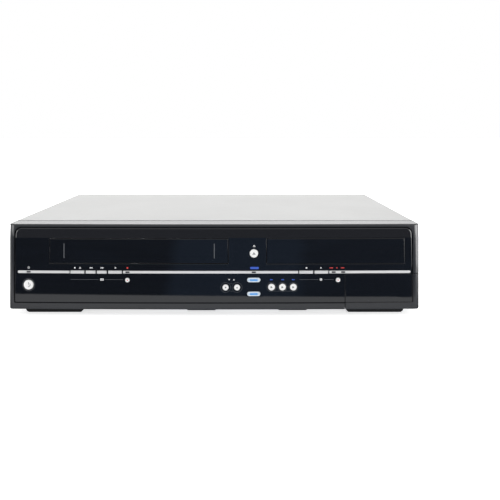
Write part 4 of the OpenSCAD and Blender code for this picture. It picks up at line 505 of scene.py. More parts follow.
# %% Helper: a block with rounded edges, and a turned solid
def add_block(bm, x, y, z, edge=0.3):
    """A box between pairs of x, y and z, its edges bevelled, into bm."""
    made = bmesh.ops.create_cube(bm, size=1.0)["verts"]
    for vert in made:
        vert.co = Vector((x[0] if vert.co.x < 0 else x[1], y[0] if vert.co.y < 0 else y[1],
                          z[0] if vert.co.z < 0 else z[1]))
    if edge:
        edges = list({e for v in made for e in v.link_edges})
        bmesh.ops.bevel(bm, geom=edges, offset=edge, segments=2, affect="EDGES", profile=0.7)


def add_turned(bm, profile, centre, axis="y", count=48):
    """A solid of revolution; profile holds (radius, place along the axis), pole to pole."""
    def point(radius, along, angle):
        a, b = radius * math.cos(angle), radius * math.sin(angle)
        offset = {"x": (along, a, b), "y": (a, along, b), "z": (a, b, along)}[axis]
        return Vector(centre) + Vector(offset)

    rings = []
    for radius, along in profile:
        if radius < 1e-6:
            rings.append([bm.verts.new(point(0, along, 0))])
        else:
            rings.append([bm.verts.new(point(radius, along, 2 * math.pi * i / count)) for i in range(count)])
    faces = []
    for low, high in zip(rings, rings[1:]):
        for i in range(count):
            j = (i + 1) % count
            corners = [low[i % len(low)], low[j % len(low)], high[j % len(high)], high[i % len(high)]]
            corners = list(dict.fromkeys(corners))
            if len(corners) > 2:
                faces.append(bm.faces.new(corners))
    bmesh.ops.recalc_face_normals(bm, faces=faces)


# %% [markdown]
# ## The gloss front panel
# The black panel is one moulding: it takes the cassette door, the tray's front, the strip, all the
# buttons, and at its lower right it leaves a corner free for the flap. We cut every opening as a hole
# in its outline. A boolean would do it too, but it leaves long thin faces that show in a mirror gloss.

# %% Where the buttons are: kind, x, z, width, height
BAR_H, RECORD_Z, RECORD_W, DUB_Z, DUB_W = 3.1, 38.9, 4.6, 31.5, 7.1
STANDBY_X, TAPE_RECORD_X = LEFT + 19.9, LEFT + 125.4
BUTTONS = {
    "standby": ("round", STANDBY_X, 33.6, 10.3, 10.3),
    "tape_stop": ("bar", LEFT + 72.1, STRIP_Z, 14.7, BAR_H),
    "tape_rewind": ("bar", LEFT + 86.2, STRIP_Z, 10.4, BAR_H),
    "tape_forward": ("bar", LEFT + 98.1, STRIP_Z, 10.3, BAR_H),
    "tape_play": ("bar", LEFT + 112.2, STRIP_Z, 14.3, BAR_H),
    "tape_record": ("round", TAPE_RECORD_X, RECORD_Z, RECORD_W, RECORD_W),
    "open_close": ("round", 42.3, 67.3, 8.8, 8.8),
    "channel_down": ("round", 12.2, 31.2, 6.3, 6.3),
    "channel_up": ("round", 24.4, 31.2, 6.3, 6.3),
    "select_top": ("pill", 42.1, 39.1, 14.0, 4.8),
    "select_low": ("pill", 42.1, 24.3, 14.0, 4.8),
    "dub_left": ("round", 61.0, DUB_Z, DUB_W, DUB_W),
    "dub_middle": ("round", 72.6, DUB_Z, DUB_W, DUB_W),
    "dub_right": ("round", 84.2, DUB_Z, DUB_W, DUB_W),
    "disc_stop": ("bar", RIGHT - 119.7, STRIP_Z, 14.7, BAR_H),
    "disc_play": ("bar", RIGHT - 103.5, STRIP_Z, 14.5, BAR_H),
    "disc_record": ("round", RIGHT - 85.7, RECORD_Z, RECORD_W, RECORD_W),
}
LAMPS = [STANDBY_X, LEFT + 125.5, 42.2, RIGHT - 90.4, RIGHT - 80.3]
WINDOW_W, WINDOW_H = 4.3, 1.7


def around(x, z, width, height, radius=0.0, steps=5):
    """A box outline around its middle."""
    return box_outline(x - width / 2, x + width / 2, z - height / 2, z + height / 2, radius, steps)


def grown(box, by, radius=0.0, steps=5):
    """A box (x0, x1, z0, z1) made larger by the same amount on all sides."""
    return box_outline(box[0] - by, box[1] + by, box[2] - by, box[3] + by, radius, steps)


def button_outline(kind, x, z, width, height, grow=0.0):
    if kind == "round":
        return round_outline(x, z, width / 2 + grow)
    if kind == "pill":
        return pill_outline(x, z, width + 2 * grow, height + 2 * grow)
    return around(x, z, width + 2 * grow, height + 2 * grow, 0.35, 3)


print("buttons:", len(BUTTONS), "lamps:", len(LAMPS))

# %% Gloss front panel
flap_edge, flap_line = FLAP_X - FLAP_GAP, FLAP_TOP + FLAP_GAP
panel_corners = [(FASCIA_X[0], FASCIA_Z[0]), (flap_edge, FASCIA_Z[0]), (flap_edge, flap_line),
                 (FASCIA_X[1], flap_line), (FASCIA_X[1], FASCIA_Z[1]), (FASCIA_X[0], FASCIA_Z[1])]
panel_outline = rounded_outline(panel_corners, [1.2, 0.5, 0.5, 0.5, FASCIA_R, FASCIA_R])
openings = [grown(DOOR, GAP, 0.6, 3), grown(TRAY, GAP, 0.6, 3)]
openings += [button_outline(*b, grow=0.25) for b in BUTTONS.values()]
openings += [around(x, STRIP_Z, WINDOW_W, WINDOW_H, 0.2, 2) for x in LAMPS if x < FLAP_X - 5]
bm = bmesh.new()
add_panel(bm, panel_outline, openings, FASCIA_SET, FASCIA_SET + FASCIA_T, edge=1.6, hole_edge=0.4,
          steps=5, low_edge=0.25)
make_piece("gloss_front_panel", bend_to_front(bm), "chassis", gloss_black, ["fascia_panel"])
print("openings in the front panel:", len(openings))

# %% [markdown]
# ## Cassette door and tray front
# Both are thin curved covers in the same gloss plastic. The door hangs on two narrow arms that reach up
# behind the panel to its pins. The tray's front is a shallow open box, clipped to the end of the tray,
# so its back shows when the tray is out.

# %% Cassette door with its arms and pins
FACE = FASCIA_SET + 0.15
FACE_EDGE = {"edge": 0.7, "steps": 4, "low_edge": 0.2}
ARM, KNUCKLE, PIN = 1.1, 1.9, 1.0
door_outline = box_outline(DOOR[0], DOOR[1], DOOR[2] + DOOR_FOOT, DOOR[3], 0.5, 3)
knuckle = [(0, 0), (KNUCKLE, 0), (KNUCKLE, ARM - 0.02), (0, ARM - 0.02)]
pin = [(0, 0), (PIN - 0.2, 0), (PIN, 0.2), (PIN, 2.8), (PIN - 0.2, 3.0), (0, 3.0)]
bm = bmesh.new()
add_panel(bm, door_outline, [], FACE, FACE + 2.0, **FACE_EDGE)
bend_to_front(bm)
for arm_x, pin_x in ((DOOR[0], DOOR[0] - 2.95), (DOOR[1] - ARM, DOOR[1] - ARM + 1.0)):
    rear = skin(arm_x) + FACE + 0.6
    inside = arm_x + 0.01
    add_block(bm, (arm_x, arm_x + ARM), (rear, HINGE_Y + KNUCKLE), (DOOR[3] - 9, DOOR[3]), 0.15)
    add_block(bm, (inside, arm_x + ARM - 0.01), (HINGE_Y - KNUCKLE, HINGE_Y + KNUCKLE),
              (DOOR[3] - 5, HINGE_Z), 0.15)
    add_turned(bm, knuckle, (inside, HINGE_Y, HINGE_Z), "x", 32)
    add_turned(bm, pin, (pin_x, HINGE_Y, HINGE_Z), "x", 32)
make_piece("cassette_door_cover", bm, "cassette_door", gloss_black, ["cassette_door"])

# %% Tray front with its hollow back
RIM = 1.8
ring_back = TRAY_Y - 0.06
left, right, base, top = TRAY
bm = bmesh.new()
add_panel(bm, box_outline(*TRAY, 0.5, 3), [], FACE, FACE + 1.8, **FACE_EDGE)
bend_to_front(bm)
for x, z in (((left, left + RIM), (base, top)), ((right - RIM, right), (base, top)),
             ((left + RIM, right - RIM), (base, base + RIM)),
             ((left + RIM, right - RIM), (top - RIM, top))):
    add_block(bm, x, (skin(right) + FACE + 0.4, ring_back), z, 0.15)
for lug_x in (TRAY_X - 44, TRAY_X + 44):
    add_block(bm, (lug_x - 9, lug_x + 9), (skin(0) + FACE + 1.6, ring_back),
              (TRAY_Z + 0.3, TRAY_Z + TRAY_T - 0.3), 0.3)
make_piece("tray_front_cover", bm, "disc_tray", gloss_black, ["tray_front"])

# %% [markdown]
# ## Bright strip and its lamps
# A silver strip runs across the whole front in a groove. The bar buttons sit in two gaps of it. The
# strip is one outline with round outer ends, cut in three, and its edges are rounded by almost half a
# millimetre, so that it shows as a thin bright line with soft edges.

# %% Strip in three lengths
def gap_from_to(first, last, before, after):
    """The ends of the strip's gap round a row of bar buttons."""
    (_, x0, _, w0, _), (_, x1, _, w1, _) = BUTTONS[first], BUTTONS[last]
    return x0 - w0 / 2 - before, x1 + w1 / 2 + after


tape_gap = gap_from_to("tape_stop", "tape_play", 1.0, 1.3)
disc_gap = gap_from_to("disc_stop", "disc_play", 1.1, 1.2)
low_z, high_z = STRIP_Z - STRIP_H / 2, STRIP_Z + STRIP_H / 2
round_end, cut_end = STRIP_H / 2 - 0.01, 0.2
lengths = [((STRIP_X[0], tape_gap[0]), (round_end, cut_end)),
           ((tape_gap[1], disc_gap[0]), (cut_end, cut_end)),
           ((disc_gap[1], STRIP_X[1]), (cut_end, round_end))]
bm = bmesh.new()
for (x0, x1), (r0, r1) in lengths:
    outline = rounded_outline([(x0, low_z), (x1, low_z), (x1, high_z), (x0, high_z)], [r0, r1, r1, r0])
    windows = [around(x, STRIP_Z, WINDOW_W, WINDOW_H, 0.2, 2) for x in LAMPS if x0 < x < x1]
    add_panel(bm, outline, windows, FASCIA_SET - 0.5, FASCIA_SET + 1.1, edge=0.45, hole_edge=0.12)
make_piece("bright_strip", bend_to_front(bm), "chassis", silver_plastic, ["trim_strip"])

# %% Lamp lenses in the strip's windows
bm = bmesh.new()
for x in LAMPS:
    add_panel(bm, around(x, STRIP_Z, WINDOW_W - 0.2, WINDOW_H - 0.2, 0.25, 2), [],
              FASCIA_SET - 0.26, FASCIA_SET + 1.6, edge=0.15)
make_piece("lamp_lenses", bend_to_front(bm), "chassis", lamp_lens)

# %% [markdown]
# ## Buttons
# Each button is one piece with a flange behind the panel and a stem to its switch, so it moves as a
# whole. Round caps are turned, with a slightly domed face. Bars and pills are small panels. A button's
# sign is a thin print on its cap and rides with it.

# %% Caps, flanges and stems
CAP_SET = FASCIA_SET - 0.9
WEB_GAP, WEB_T, FLANGE_GAP, FLANGE_T = 0.02, 2.0, 0.3, 1.2
STEM_R, STEM_END = 1.5, KEY_Y - 5.9
CAP_LOOK = {"round": (white_button, "button_silver"), "bar": (silver_plastic, "button_silver"),
            "pill": (lit_pill, "button_white")}
for name, (kind, x, z, width, height) in BUTTONS.items():
    flange = skin(x) + FASCIA_SET + FASCIA_T + WEB_GAP + WEB_T + FLANGE_GAP
    front = skin(x) + CAP_SET
    bm = bmesh.new()
    if kind == "round":
        r = width / 2
        dome = [(r * math.sin(a), front + 0.12 * (1 - math.cos(a)))
                for a in (math.radians(degrees) for degrees in (0, 20, 40, 60))]
        rim = [(r - 0.35, front + 0.13), (r - 0.1, front + 0.25), (r, front + 0.5), (r, flange)]
        foot = [(r + 1.1, flange), (r + 1.2, flange + 0.1), (r + 1.2, flange + FLANGE_T)]
        stem = [(STEM_R, flange + FLANGE_T), (STEM_R, STEM_END), (0, STEM_END)]
        add_turned(bm, dome + rim + foot + stem, (x, 0, z))
    else:
        add_panel(bm, button_outline(kind, x, z, width, height), [], CAP_SET, CAP_SET + 5.2,
                  edge=0.5 if kind == "bar" else 0.7, steps=4)
        bend_to_front(bm, slice_lean=False)
        half_w, half_h = width / 2 + (0.0 if kind == "bar" else 1.2), height / 2 + 1.5
        add_block(bm, (x - half_w, x + half_w), (flange, flange + FLANGE_T), (z - half_h, z + half_h), 0.2)
        stem = [(0, flange + 0.6), (STEM_R, flange + 0.6), (STEM_R, STEM_END), (0, STEM_END)]
        add_turned(bm, stem, (x, 0, z))
    paint, slot = CAP_LOOK[kind]
    make_piece(name + "_cap", bm, name + "_button", paint, [name + "_button"])

# %% [markdown]
# ## Printed signs
# The signs are the usual ones for play, stop, wind and record. Each is a thin shape that stands a
# twentieth of a millimetre proud of the panel, so it needs no picture, and it keeps its place and its
# sharp edge from any side. Signs of one ink and one body are joined into one piece.


# %% Helper: small signs as outlines
def sign(kind, x, z, size):
    """Outlines of a usual sign with their holes, drawn in a square of side 1 round x and z."""
    def shape(*points):
        return [(x + a * size, z + b * size) for a, b in points]

    def box(a, b, c, d, radius=0.0, steps=5):
        return box_outline(x + a * size, x + b * size, z + c * size, z + d * size, radius * size, steps)

    def circle(radius, count, a=0.0):
        return round_outline(x + a * size, z, radius * size, count)

    def twice(points):
        return [([(px + d * size, pz) for px, pz in points], []) for d in (-0.45, 0.45)]

    sweep = [math.radians(a) for a in range(125, 416, 15)]
    arc = shape(*[(0.5 * math.cos(a), 0.5 * math.sin(a)) for a in sweep],
                *[(0.35 * math.cos(a), 0.35 * math.sin(a)) for a in reversed(sweep)])
    play = shape((-0.42, -0.5), (0.45, 0), (-0.42, 0.5))
    wind_back = shape((0.42, 0.5), (-0.45, 0), (0.42, -0.5))
    return {
        "play": [(play, [])],
        "stop": [(box(-0.5, 0.5, -0.5, 0.5), [])],
        "forward": twice(play),
        "rewind": twice(wind_back),
        "eject": [(shape((-0.6, -0.1), (0.6, -0.1), (0, 0.5)), []), (box(-0.6, 0.6, -0.5, -0.28), [])],
        "up": [(shape((-0.5, -0.35), (0.5, -0.35), (0, 0.45)), [])],
        "down": [(shape((-0.5, 0.35), (0, -0.45), (0.5, 0.35)), [])],
        "dot": [(circle(0.5, 24), [])],
        "ring": [(circle(0.5, 40), [circle(0.34, 40)])],
        "power": [(arc, []), (box(-0.075, 0.075, 0, 0.62), [])],
        "bar": [(box(-0.5, 0.5, -0.13, 0.13, 0.05, 2), [])],
        "cassette": [(box(-0.5, 0.5, -0.3, 0.3, 0.06, 2), [circle(0.12, 16, -0.22), circle(0.12, 16, 0.22)])],
        "disc": [(circle(0.5, 32), [circle(0.16, 16)])],
    }[kind]


def signs_at(z, *signs):
    """Signs (kind, x, size) at one height."""
    return [outline for kind, x, size in signs for outline in sign(kind, x, z, size)]


def print_signs(name, body, ink, shapes, depth=FASCIA_SET):
    """Thin prints (outline, holes) in one ink, on the panel or at another depth."""
    bm = bmesh.new()
    for outer, holes in shapes:
        area = sum(a[0] * b[1] - b[0] * a[1] for a, b in zip(outer, outer[1:] + outer[:1]))
        add_panel(bm, outer if area > 0 else outer[::-1], holes, depth - 0.045, depth + 0.12, edge=0)
    make_piece(name, bend_to_front(bm), body, ink, smooth_angle=25)


# %% Prints on the panel: white, grey, red and blue ink
white = signs_at(SIGN_HIGH, ("power", STANDBY_X, 2.3), ("stop", -148.2, 1.5), ("eject", -142.6, 1.9),
                 ("rewind", -131.1, 1.9), ("forward", -119.0, 1.9), ("play", -104.6, 2.0),
                 ("stop", 98.1, 1.6), ("play", 113.8, 2.0))
white += signs_at(75.2, ("eject", 42.6, 2.1))
white += signs_at(SIGN_LOW, ("up", 21.0, 1.9), ("down", 16.0, 1.9), ("cassette", -119.2, 3.6),
                  ("disc", 113.6, 2.6))
print_signs("white_prints", "chassis", white_ink, white)
grey = [(box_outline(x0, x1, 39.25, 39.5), []) for x0, x1 in
        ((-152.7, -122.7), (-115.8, -96.6), (90.6, 110.6), (116.8, 127.1))]
print_signs("grey_prints", "chassis", grey_ink, grey)
red = signs_at(SIGN_HIGH, ("dot", TAPE_RECORD_X, 2.0), ("bar", 124.6, 3.6), ("dot", 130.6, 1.3),
               ("bar", 136.6, 3.6))
print_signs("red_prints", "chassis", red_ink, red)
blue = signs_at(SIGN_HIGH, ("bar", 42.9, 9.0))
blue += signs_at(SIGN_LOW, ("forward", 61.0, 1.7), ("rewind", 72.6, 1.7), ("forward", 84.2, 1.7))
print_signs("blue_prints", "chassis", blue_ink, blue)

# %% [markdown]
# ### Rings and lines round the buttons
# A printed ring is an outline and the same outline moved inwards, so the offset that rounds the edges
# of the panels draws the rings as well. Thin lines join the buttons that belong together.


# %% Rings round the buttons, and the lines between them
def line_round(points, width=0.22):
    return (offset_outline(points, -width / 2), [offset_outline(points, width / 2)])


def line_between(first, second, clear, z):
    """A line 0.2 mm high between two buttons, clear of their middles."""
    return (box_outline(first[1] + clear, second[1] - clear, z, z + 0.2), [])


CHANNEL_RING, DUB_RING, STANDBY_RING = 5.25, 4.85, 6.6
channel = [BUTTONS[n] for n in ("channel_down", "channel_up")]
dub = [BUTTONS[n] for n in ("dub_left", "dub_middle", "dub_right")]
rings = [line_round(round_outline(x, z, CHANNEL_RING)) for _, x, z, _, _ in channel]
rings += [line_round(round_outline(x, z, DUB_RING)) for _, x, z, _, _ in dub]
rings += [line_round(round_outline(STANDBY_X, BUTTONS["standby"][2], STANDBY_RING), 0.3)]
rings += [line_between(*channel, 5.0, channel[0][2] + up - 0.1) for up in (-4.2, 4.2)]
rings += [line_between(a, b, 3.2, DUB_Z - 4.4) for a, b in zip(dub, dub[1:])]
print_signs("dim_rings", "chassis", grey_ink, rings)

# %% Marks on the cassette door, and signs on the button caps
door_marks = [(box_outline(x - 0.45, x + 0.45, 62.1, 77.7, 0.2, 2), []) for x in (-159.8, 0.2)]
print_signs("door_marks", "cassette_door", grey_ink, door_marks, depth=FACE)
CAP_SIGNS = {"standby": ("power", 4.2, grey_ink), "open_close": ("eject", 2.6, grey_ink),
             "channel_down": ("down", 2.2, grey_ink), "channel_up": ("up", 2.2, grey_ink),
             "dub_left": ("play", 2.4, dim_ink), "dub_middle": ("play", 2.4, dim_ink),
             "dub_right": ("play", 2.4, dim_ink), "tape_record": ("dot", 1.3, red_ink),
             "disc_record": ("dot", 1.3, red_ink)}
for name, (kind, size, ink) in CAP_SIGNS.items():
    _, x, z, _, _ = BUTTONS[name]
    print_signs(name + "_sign", name + "_button", ink, sign(kind, x, z, size), depth=CAP_SET + 0.04)
for name in ("select_top", "select_low"):
    _, x, z, _, _ = BUTTONS[name]
    marks = [(pill_outline(x, z, 8.6, 2.0), [])]
    marks += [(round_outline(x + aside, z, 0.35, 16), []) for aside in (-5.2, 5.2)]
    print_signs(name + "_sign", name + "_button", sky_ink, marks, depth=CAP_SET)

# %% [markdown]
# ## The flap over the front sockets
# The lower right corner of the front folds down on two pins. It carries a piece of the satin rim and
# a piece of the gloss panel, so it is two pieces in two finishes, both riding on the flap's body. The
# satin one is made below, with the front moulding, so that their edges match. The groove round the
# panel crosses the flap too, and its shade is painted on it as two dark lines.

# %% Flap: gloss face, painted shade of its grooves, and its small sign
flap_left, flap_high = FLAP_X + FLAP_EASE, FLAP_TOP - FLAP_EASE
face_right, face_low = FASCIA_X[1], FASCIA_Z[0]
groove_w = 0.8
face_corners = [(flap_left, face_low), (face_right, face_low), (face_right, flap_high),
                (flap_left, flap_high)]
bm = bmesh.new()
add_panel(bm, rounded_outline(face_corners, [0.3, 1.2, 0.3, 0.3]), [], FASCIA_SET - 0.05, FASCIA_SET + 1.2,
          edge=0.35)
make_piece("flap_face", bend_to_front(bm), "socket_flap", gloss_black)
# The two grooves are thin dark prints: painted shade for the shadow inside the groove
side_groove_shade = box_outline(face_right, face_right + groove_w, face_low + 0.3, flap_high)
low_groove_shade = box_outline(flap_left, face_right + groove_w, face_low - 0.5, face_low + 0.3)
print_signs("flap_groove", "socket_flap", foot_rubber, [(side_groove_shade, [])], depth=FASCIA_SET + 0.55)
print_signs("flap_groove_low", "socket_flap", foot_rubber, [(low_groove_shade, [])], depth=0.03)
print_signs("flap_print", "socket_flap", white_ink, signs_at(40.0, ("ring", 205.0, 1.8), ("dot", 205.0, 0.7)))

# %% [markdown]
# ## Carried-over solids with rounded edges
# The remaining CAD nodes already have the right shape, but their edges are perfectly sharp, and no real
# edge is. A copy of such a node is merged into one skin, its flat triangles are joined into whole
# faces, and a Bevel modifier rounds the edges that turn sharply. The node itself stays untouched. The
# same pass over its points moves an edge a little where the finished front needs it.


# %% Helper: a copy of a CAD node with rounded edges
MERGE, STILL_FLAT, END_ZONE, NEAR = 0.002 * MM, math.radians(0.12), 4.0, 0.05


def rounded_copy(node, body, material, edge=0.3, name=None, proud=0.0, ease=None, longer=None):
    """A merged copy that stands for the CAD node. proud moves its ends past the cover's sides, ease
    (x, z) moves its left and top edges in, and longer (x, by) moves what lies within x inwards."""
    bm = bmesh.new()
    bm.from_mesh(frame["nodes"][node].data)
    bmesh.ops.remove_doubles(bm, verts=bm.verts[:], dist=MERGE)
    bmesh.ops.dissolve_limit(bm, angle_limit=STILL_FLAT, verts=bm.verts[:], edges=bm.edges[:])
    for vert in bm.verts:
        vert.co /= MM
        beyond = max(0.0, abs(vert.co.x) - (RIGHT - END_ZONE)) / END_ZONE
        vert.co.x += math.copysign(proud * beyond, vert.co.x)
        if ease and vert.co.x < ease[0] + NEAR:
            vert.co.x += FLAP_EASE
        if ease and vert.co.z > ease[1] - NEAR:
            vert.co.z -= FLAP_EASE
        if longer and abs(vert.co.x) < longer[0]:
            vert.co.x -= math.copysign(longer[1], vert.co.x)
    make_piece(name or node + "_shell", bm, body, material, [node], 35, edge)


# %% Front moulding, pan, rear sheet, feet, sockets, tray and cassette holder
foot_inner_end = RIGHT - 42.5
rounded_copy("front_bezel", "chassis", satin_grey, 0.45, proud=1.1)
rounded_copy("socket_flap", "socket_flap", satin_grey, 0.45, name="flap_corner", proud=1.1,
             ease=(FLAP_X, FLAP_TOP))
rounded_copy("bottom_chassis", "chassis", plated_sheet, 0.0)
rounded_copy("rear_panel", "chassis", plated_sheet, 0.0)
rounded_copy("front_feet", "chassis", foot_rubber, 0.6, longer=(foot_inner_end, 2.0))
rounded_copy("rear_feet", "chassis", foot_rubber, 0.4)
rounded_copy("rear_sockets", "chassis", socket_black, 0.2)
rounded_copy("front_sockets", "chassis", nickel, 0.2)
rounded_copy("mains_inlet", "chassis", socket_black, 0.3)
rounded_copy("disc_tray", "disc_tray", filled_black, 0.3)
rounded_copy("cassette_holder", "cassette_holder", plated_sheet, 0.0)

# %% [markdown]
# ### Two flat lips under the front edge
# The front moulding clips to the pan with two wide tongues. Their ends show below the front edge as two
# flat dark lips, and a block with rounded edges is enough for each.

# %% Lips
LIP_X, LIP_HALF, LIP_Z = (-13.5, 83.5), 15, (FOOT - 1.05, FOOT + 0.3)
bm = bmesh.new()
for middle in LIP_X:
    add_block(bm, (middle - LIP_HALF, middle + LIP_HALF), (skin(middle) + 2.0, FRONT + 21.0), LIP_Z)
make_piece("front_lips", bm, "chassis", foot_rubber)

# %% [markdown]
# ## Folded cover by rule
# The cover is one sheet: a U drawn across the case, its two folds given a radius, drawn out to the
# depth of the case, given a thickness, and punched with rows of slots. That is a rule with a few
# numbers, so Geometry Nodes make it. The slots are copies of one slot on a line of points.


# %% Helper: an empty geometry tree with named inputs
def start_geometry(name, inputs):
    """A tree with a geometry input and output, and an input for each (name, value or socket kind)."""
    tree = bpy.data.node_groups.new(name, "GeometryNodeTree")
    tree.interface.new_socket(name="Geometry", in_out="OUTPUT", socket_type="NodeSocketGeometry")
    tree.interface.new_socket(name="Geometry", in_out="INPUT", socket_type="NodeSocketGeometry")
    for label, value in inputs:
        if isinstance(value, str):
            tree.interface.new_socket(name=label, in_out="INPUT", socket_type=value)
            continue
        kind = "NodeSocketInt" if isinstance(value, int) else "NodeSocketFloat"
        tree.interface.new_socket(name=label, in_out="INPUT", socket_type=kind).default_value = value
    return tree, tree.nodes.new("NodeGroupInput").outputs, tree.nodes.new("NodeGroupOutput")


# %% Helper: the steps of a tree, and its end
def add_step(tree, kind, wires=None, **settings):
    """A geometry node by its short kind; gives its first output."""
    return add_node(tree, "GeometryNode" + kind, wires, **settings).outputs[0]


def finish_tree(tree, result, geometry, material):
    """Makes the copies real, because the export drops instances, and paints them."""
    real = add_step(tree, "RealizeInstances", {"Geometry": geometry})
    painted = add_step(tree, "SetMaterial", {"Geometry": real, "Material": material})
    tree.links.new(painted, result.inputs[0])
    print("tree", tree.name, "has", len(tree.nodes), "nodes")


# %% Helper: from a tree to a plain piece
def run_geometry(name, mesh, tree, values, body, stands_for=()):
    """Runs the tree on a mesh, with inputs set by their identifiers, and keeps only its result."""
    source = link_object(name + "_source", mesh)
    modifier = source.modifiers.new("rule", "NODES")
    modifier.node_group = tree
    for item in tree.interface.items_tree:
        if item.in_out == "INPUT" and item.name in values:
            modifier[item.identifier] = values[item.name]
    shown = source.evaluated_get(bpy.context.evaluated_depsgraph_get())
    result = bpy.data.meshes.new_from_object(shown)
    result.name = name
    source.modifiers.clear()
    bpy.data.objects.remove(source)
    return hand_over(link_object(name, result), body, stands_for, smooth_angle=35)


# %% Tree: folded and punched sheet
SLOT_DEPTH, WELD = 0.006, 0.00001
cover_rule, given, result = start_geometry("folded_cover", [
    ("Depth", 0.32), ("Fold Radius", 0.0024), ("Thickness", 0.0008), ("Slot Width", 0.003),
    ("Slot Height", 0.021), ("Slot Step", 0.007), ("Slots", 18), ("First Slot", -0.04),
    ("Slot Base", 0.028), ("Row Step", 0.026), ("Side", 0.2175)])


def closed_solid(sheet, thickness):
    """The sheet pushed out by a thickness, and closed by itself turned over."""
    pushed = add_step(cover_rule, "ExtrudeMesh", {
        "Mesh": sheet, "Offset Scale": thickness, "Individual": False}, mode="FACES")
    turned = add_step(cover_rule, "FlipFaces", {"Mesh": sheet})
    shell = add_step(cover_rule, "JoinGeometry", {0: [pushed, turned]})
    return add_step(cover_rule, "MergeByDistance", {"Geometry": shell, "Distance": WELD})


wire = add_step(cover_rule, "MeshToCurve", {"Mesh": given["Geometry"]})
folded = add_step(cover_rule, "FilletCurve", {"Curve": wire, "Radius": given["Fold Radius"], "Count": 8},
                  mode="POLY")
if "Limit Radius" in folded.node.inputs:
    folded.node.inputs["Limit Radius"].default_value = True
edge_line = add_step(cover_rule, "CurveToMesh", {"Curve": folded})
away = add_node(cover_rule, "ShaderNodeCombineXYZ", {"Y": given["Depth"]}).outputs[0]
drawn = add_step(cover_rule, "ExtrudeMesh", {"Mesh": edge_line, "Offset": away, "Offset Scale": 1.0},
                 mode="EDGES")
folded_sheet = closed_solid(drawn, given["Thickness"])
oblong = add_step(cover_rule, "CurvePrimitiveQuadrilateral",
                  {"Width": given["Slot Height"], "Height": given["Slot Width"]})
half_slot = add_math(cover_rule, "MULTIPLY", given["Slot Width"], 0.49)
soft_slot = add_step(cover_rule, "FilletCurve", {"Curve": oblong, "Radius": half_slot, "Count": 5},
                     mode="POLY")
slot_face = add_step(cover_rule, "FillCurve", {"Curve": soft_slot}, mode="NGONS")
slot_solid = closed_solid(slot_face, SLOT_DEPTH)
print("sheet and slot:", len(cover_rule.nodes), "nodes")

# %% Tree: rows of slots on both sides, cut out of the sheet
slot_step = add_node(cover_rule, "ShaderNodeCombineXYZ", {"Y": given["Slot Step"]}).outputs[0]
cutters = []
for side in (-1, 1):
    for row in (0, 1):
        half_in = add_math(cover_rule, "MULTIPLY", given["Side"], side)
        above = add_math(cover_rule, "MULTIPLY", given["Row Step"], row)
        start = add_node(cover_rule, "ShaderNodeCombineXYZ", {
            "X": add_math(cover_rule, "SUBTRACT", half_in, SLOT_DEPTH / 2), "Y": given["First Slot"],
            "Z": add_math(cover_rule, "ADD", given["Slot Base"], above)}).outputs[0]
        line = add_step(cover_rule, "MeshLine", {"Count": given["Slots"], "Start Location": start,
                                                 "Offset": slot_step}, mode="OFFSET", count_mode="TOTAL")
        cutters.append(add_step(cover_rule, "InstanceOnPoints", {
            "Points": line, "Instance": slot_solid, "Rotation": (0, math.radians(90), 0)}))
cutter = add_step(cover_rule, "RealizeInstances", {
    "Geometry": add_step(cover_rule, "JoinGeometry", {0: cutters})})
punched = add_step(cover_rule, "MeshBoolean", {"Mesh 1": folded_sheet, "Mesh 2": cutter},
                   operation="DIFFERENCE", solver="EXACT")
finish_tree(cover_rule, result, punched, cover_paint)

# %% Cover from its U
cover_low = (PAN + 1.4) * MM
u_mesh = bpy.data.meshes.new("cover_u")
u_points = [(x * MM, COVER_FRONT * MM, z) for x, z in
            ((RIGHT, cover_low), (RIGHT, HEIGHT * MM), (LEFT, HEIGHT * MM), (LEFT, cover_low))]
u_mesh.from_pydata(u_points, [(0, 1), (1, 2), (2, 3)], [])
run_geometry("folded_cover", u_mesh, cover_rule, {
    "Depth": (BACK - COVER_FRONT) * MM, "Fold Radius": 2.4 * MM, "Thickness": -0.8 * MM,
    "Slot Width": 3.0 * MM, "Slot Height": 21.0 * MM, "Slot Step": 7.0 * MM, "Slots": 18,
    "First Slot": (COVER_FRONT + 111.5) * MM, "Slot Base": cover_low + 27.0 * MM,
    "Row Step": 26.0 * MM, "Side": RIGHT * MM}, "chassis", ["top_cover"])

# %% The lip over the rear sheet
bm = bmesh.new()
add_block(bm, (LEFT + 6, RIGHT - 6), (BACK - 0.8, BACK - 0.02), (HEIGHT - 11, HEIGHT - 0.75), 0.2)
make_piece("cover_rear_lip", bm, "chassis", cover_paint)

# %% [markdown]
# ## Screws and socket rings
# Seven pan-head screws hold the cover, and each phono socket has a coloured ring. Each kind is one small
# turned mesh, copied to its places by Geometry Nodes. The places are a mesh of loose points that carry
# their own turn, which is the plain way to aim copies in different directions.

# %% Tree: copies at points that carry a turn
copy_rule, given, result = start_geometry(
    "copies_at_points", [("Size", 1.0), ("Part", "NodeSocketObject"), ("Finish", "NodeSocketMaterial")])
part = add_node(copy_rule, "GeometryNodeObjectInfo", {"Object": given["Part"]}).outputs["Geometry"]
turn = add_step(copy_rule, "InputNamedAttribute", {"Name": "turn"}, data_type="FLOAT_VECTOR")
aim = add_node(copy_rule, "FunctionNodeEulerToRotation", {0: turn}).outputs[0]
copies = add_step(copy_rule, "InstanceOnPoints", {
    "Points": given["Geometry"], "Instance": part, "Rotation": aim, "Scale": given["Size"]})
finish_tree(copy_rule, result, copies, given["Finish"])


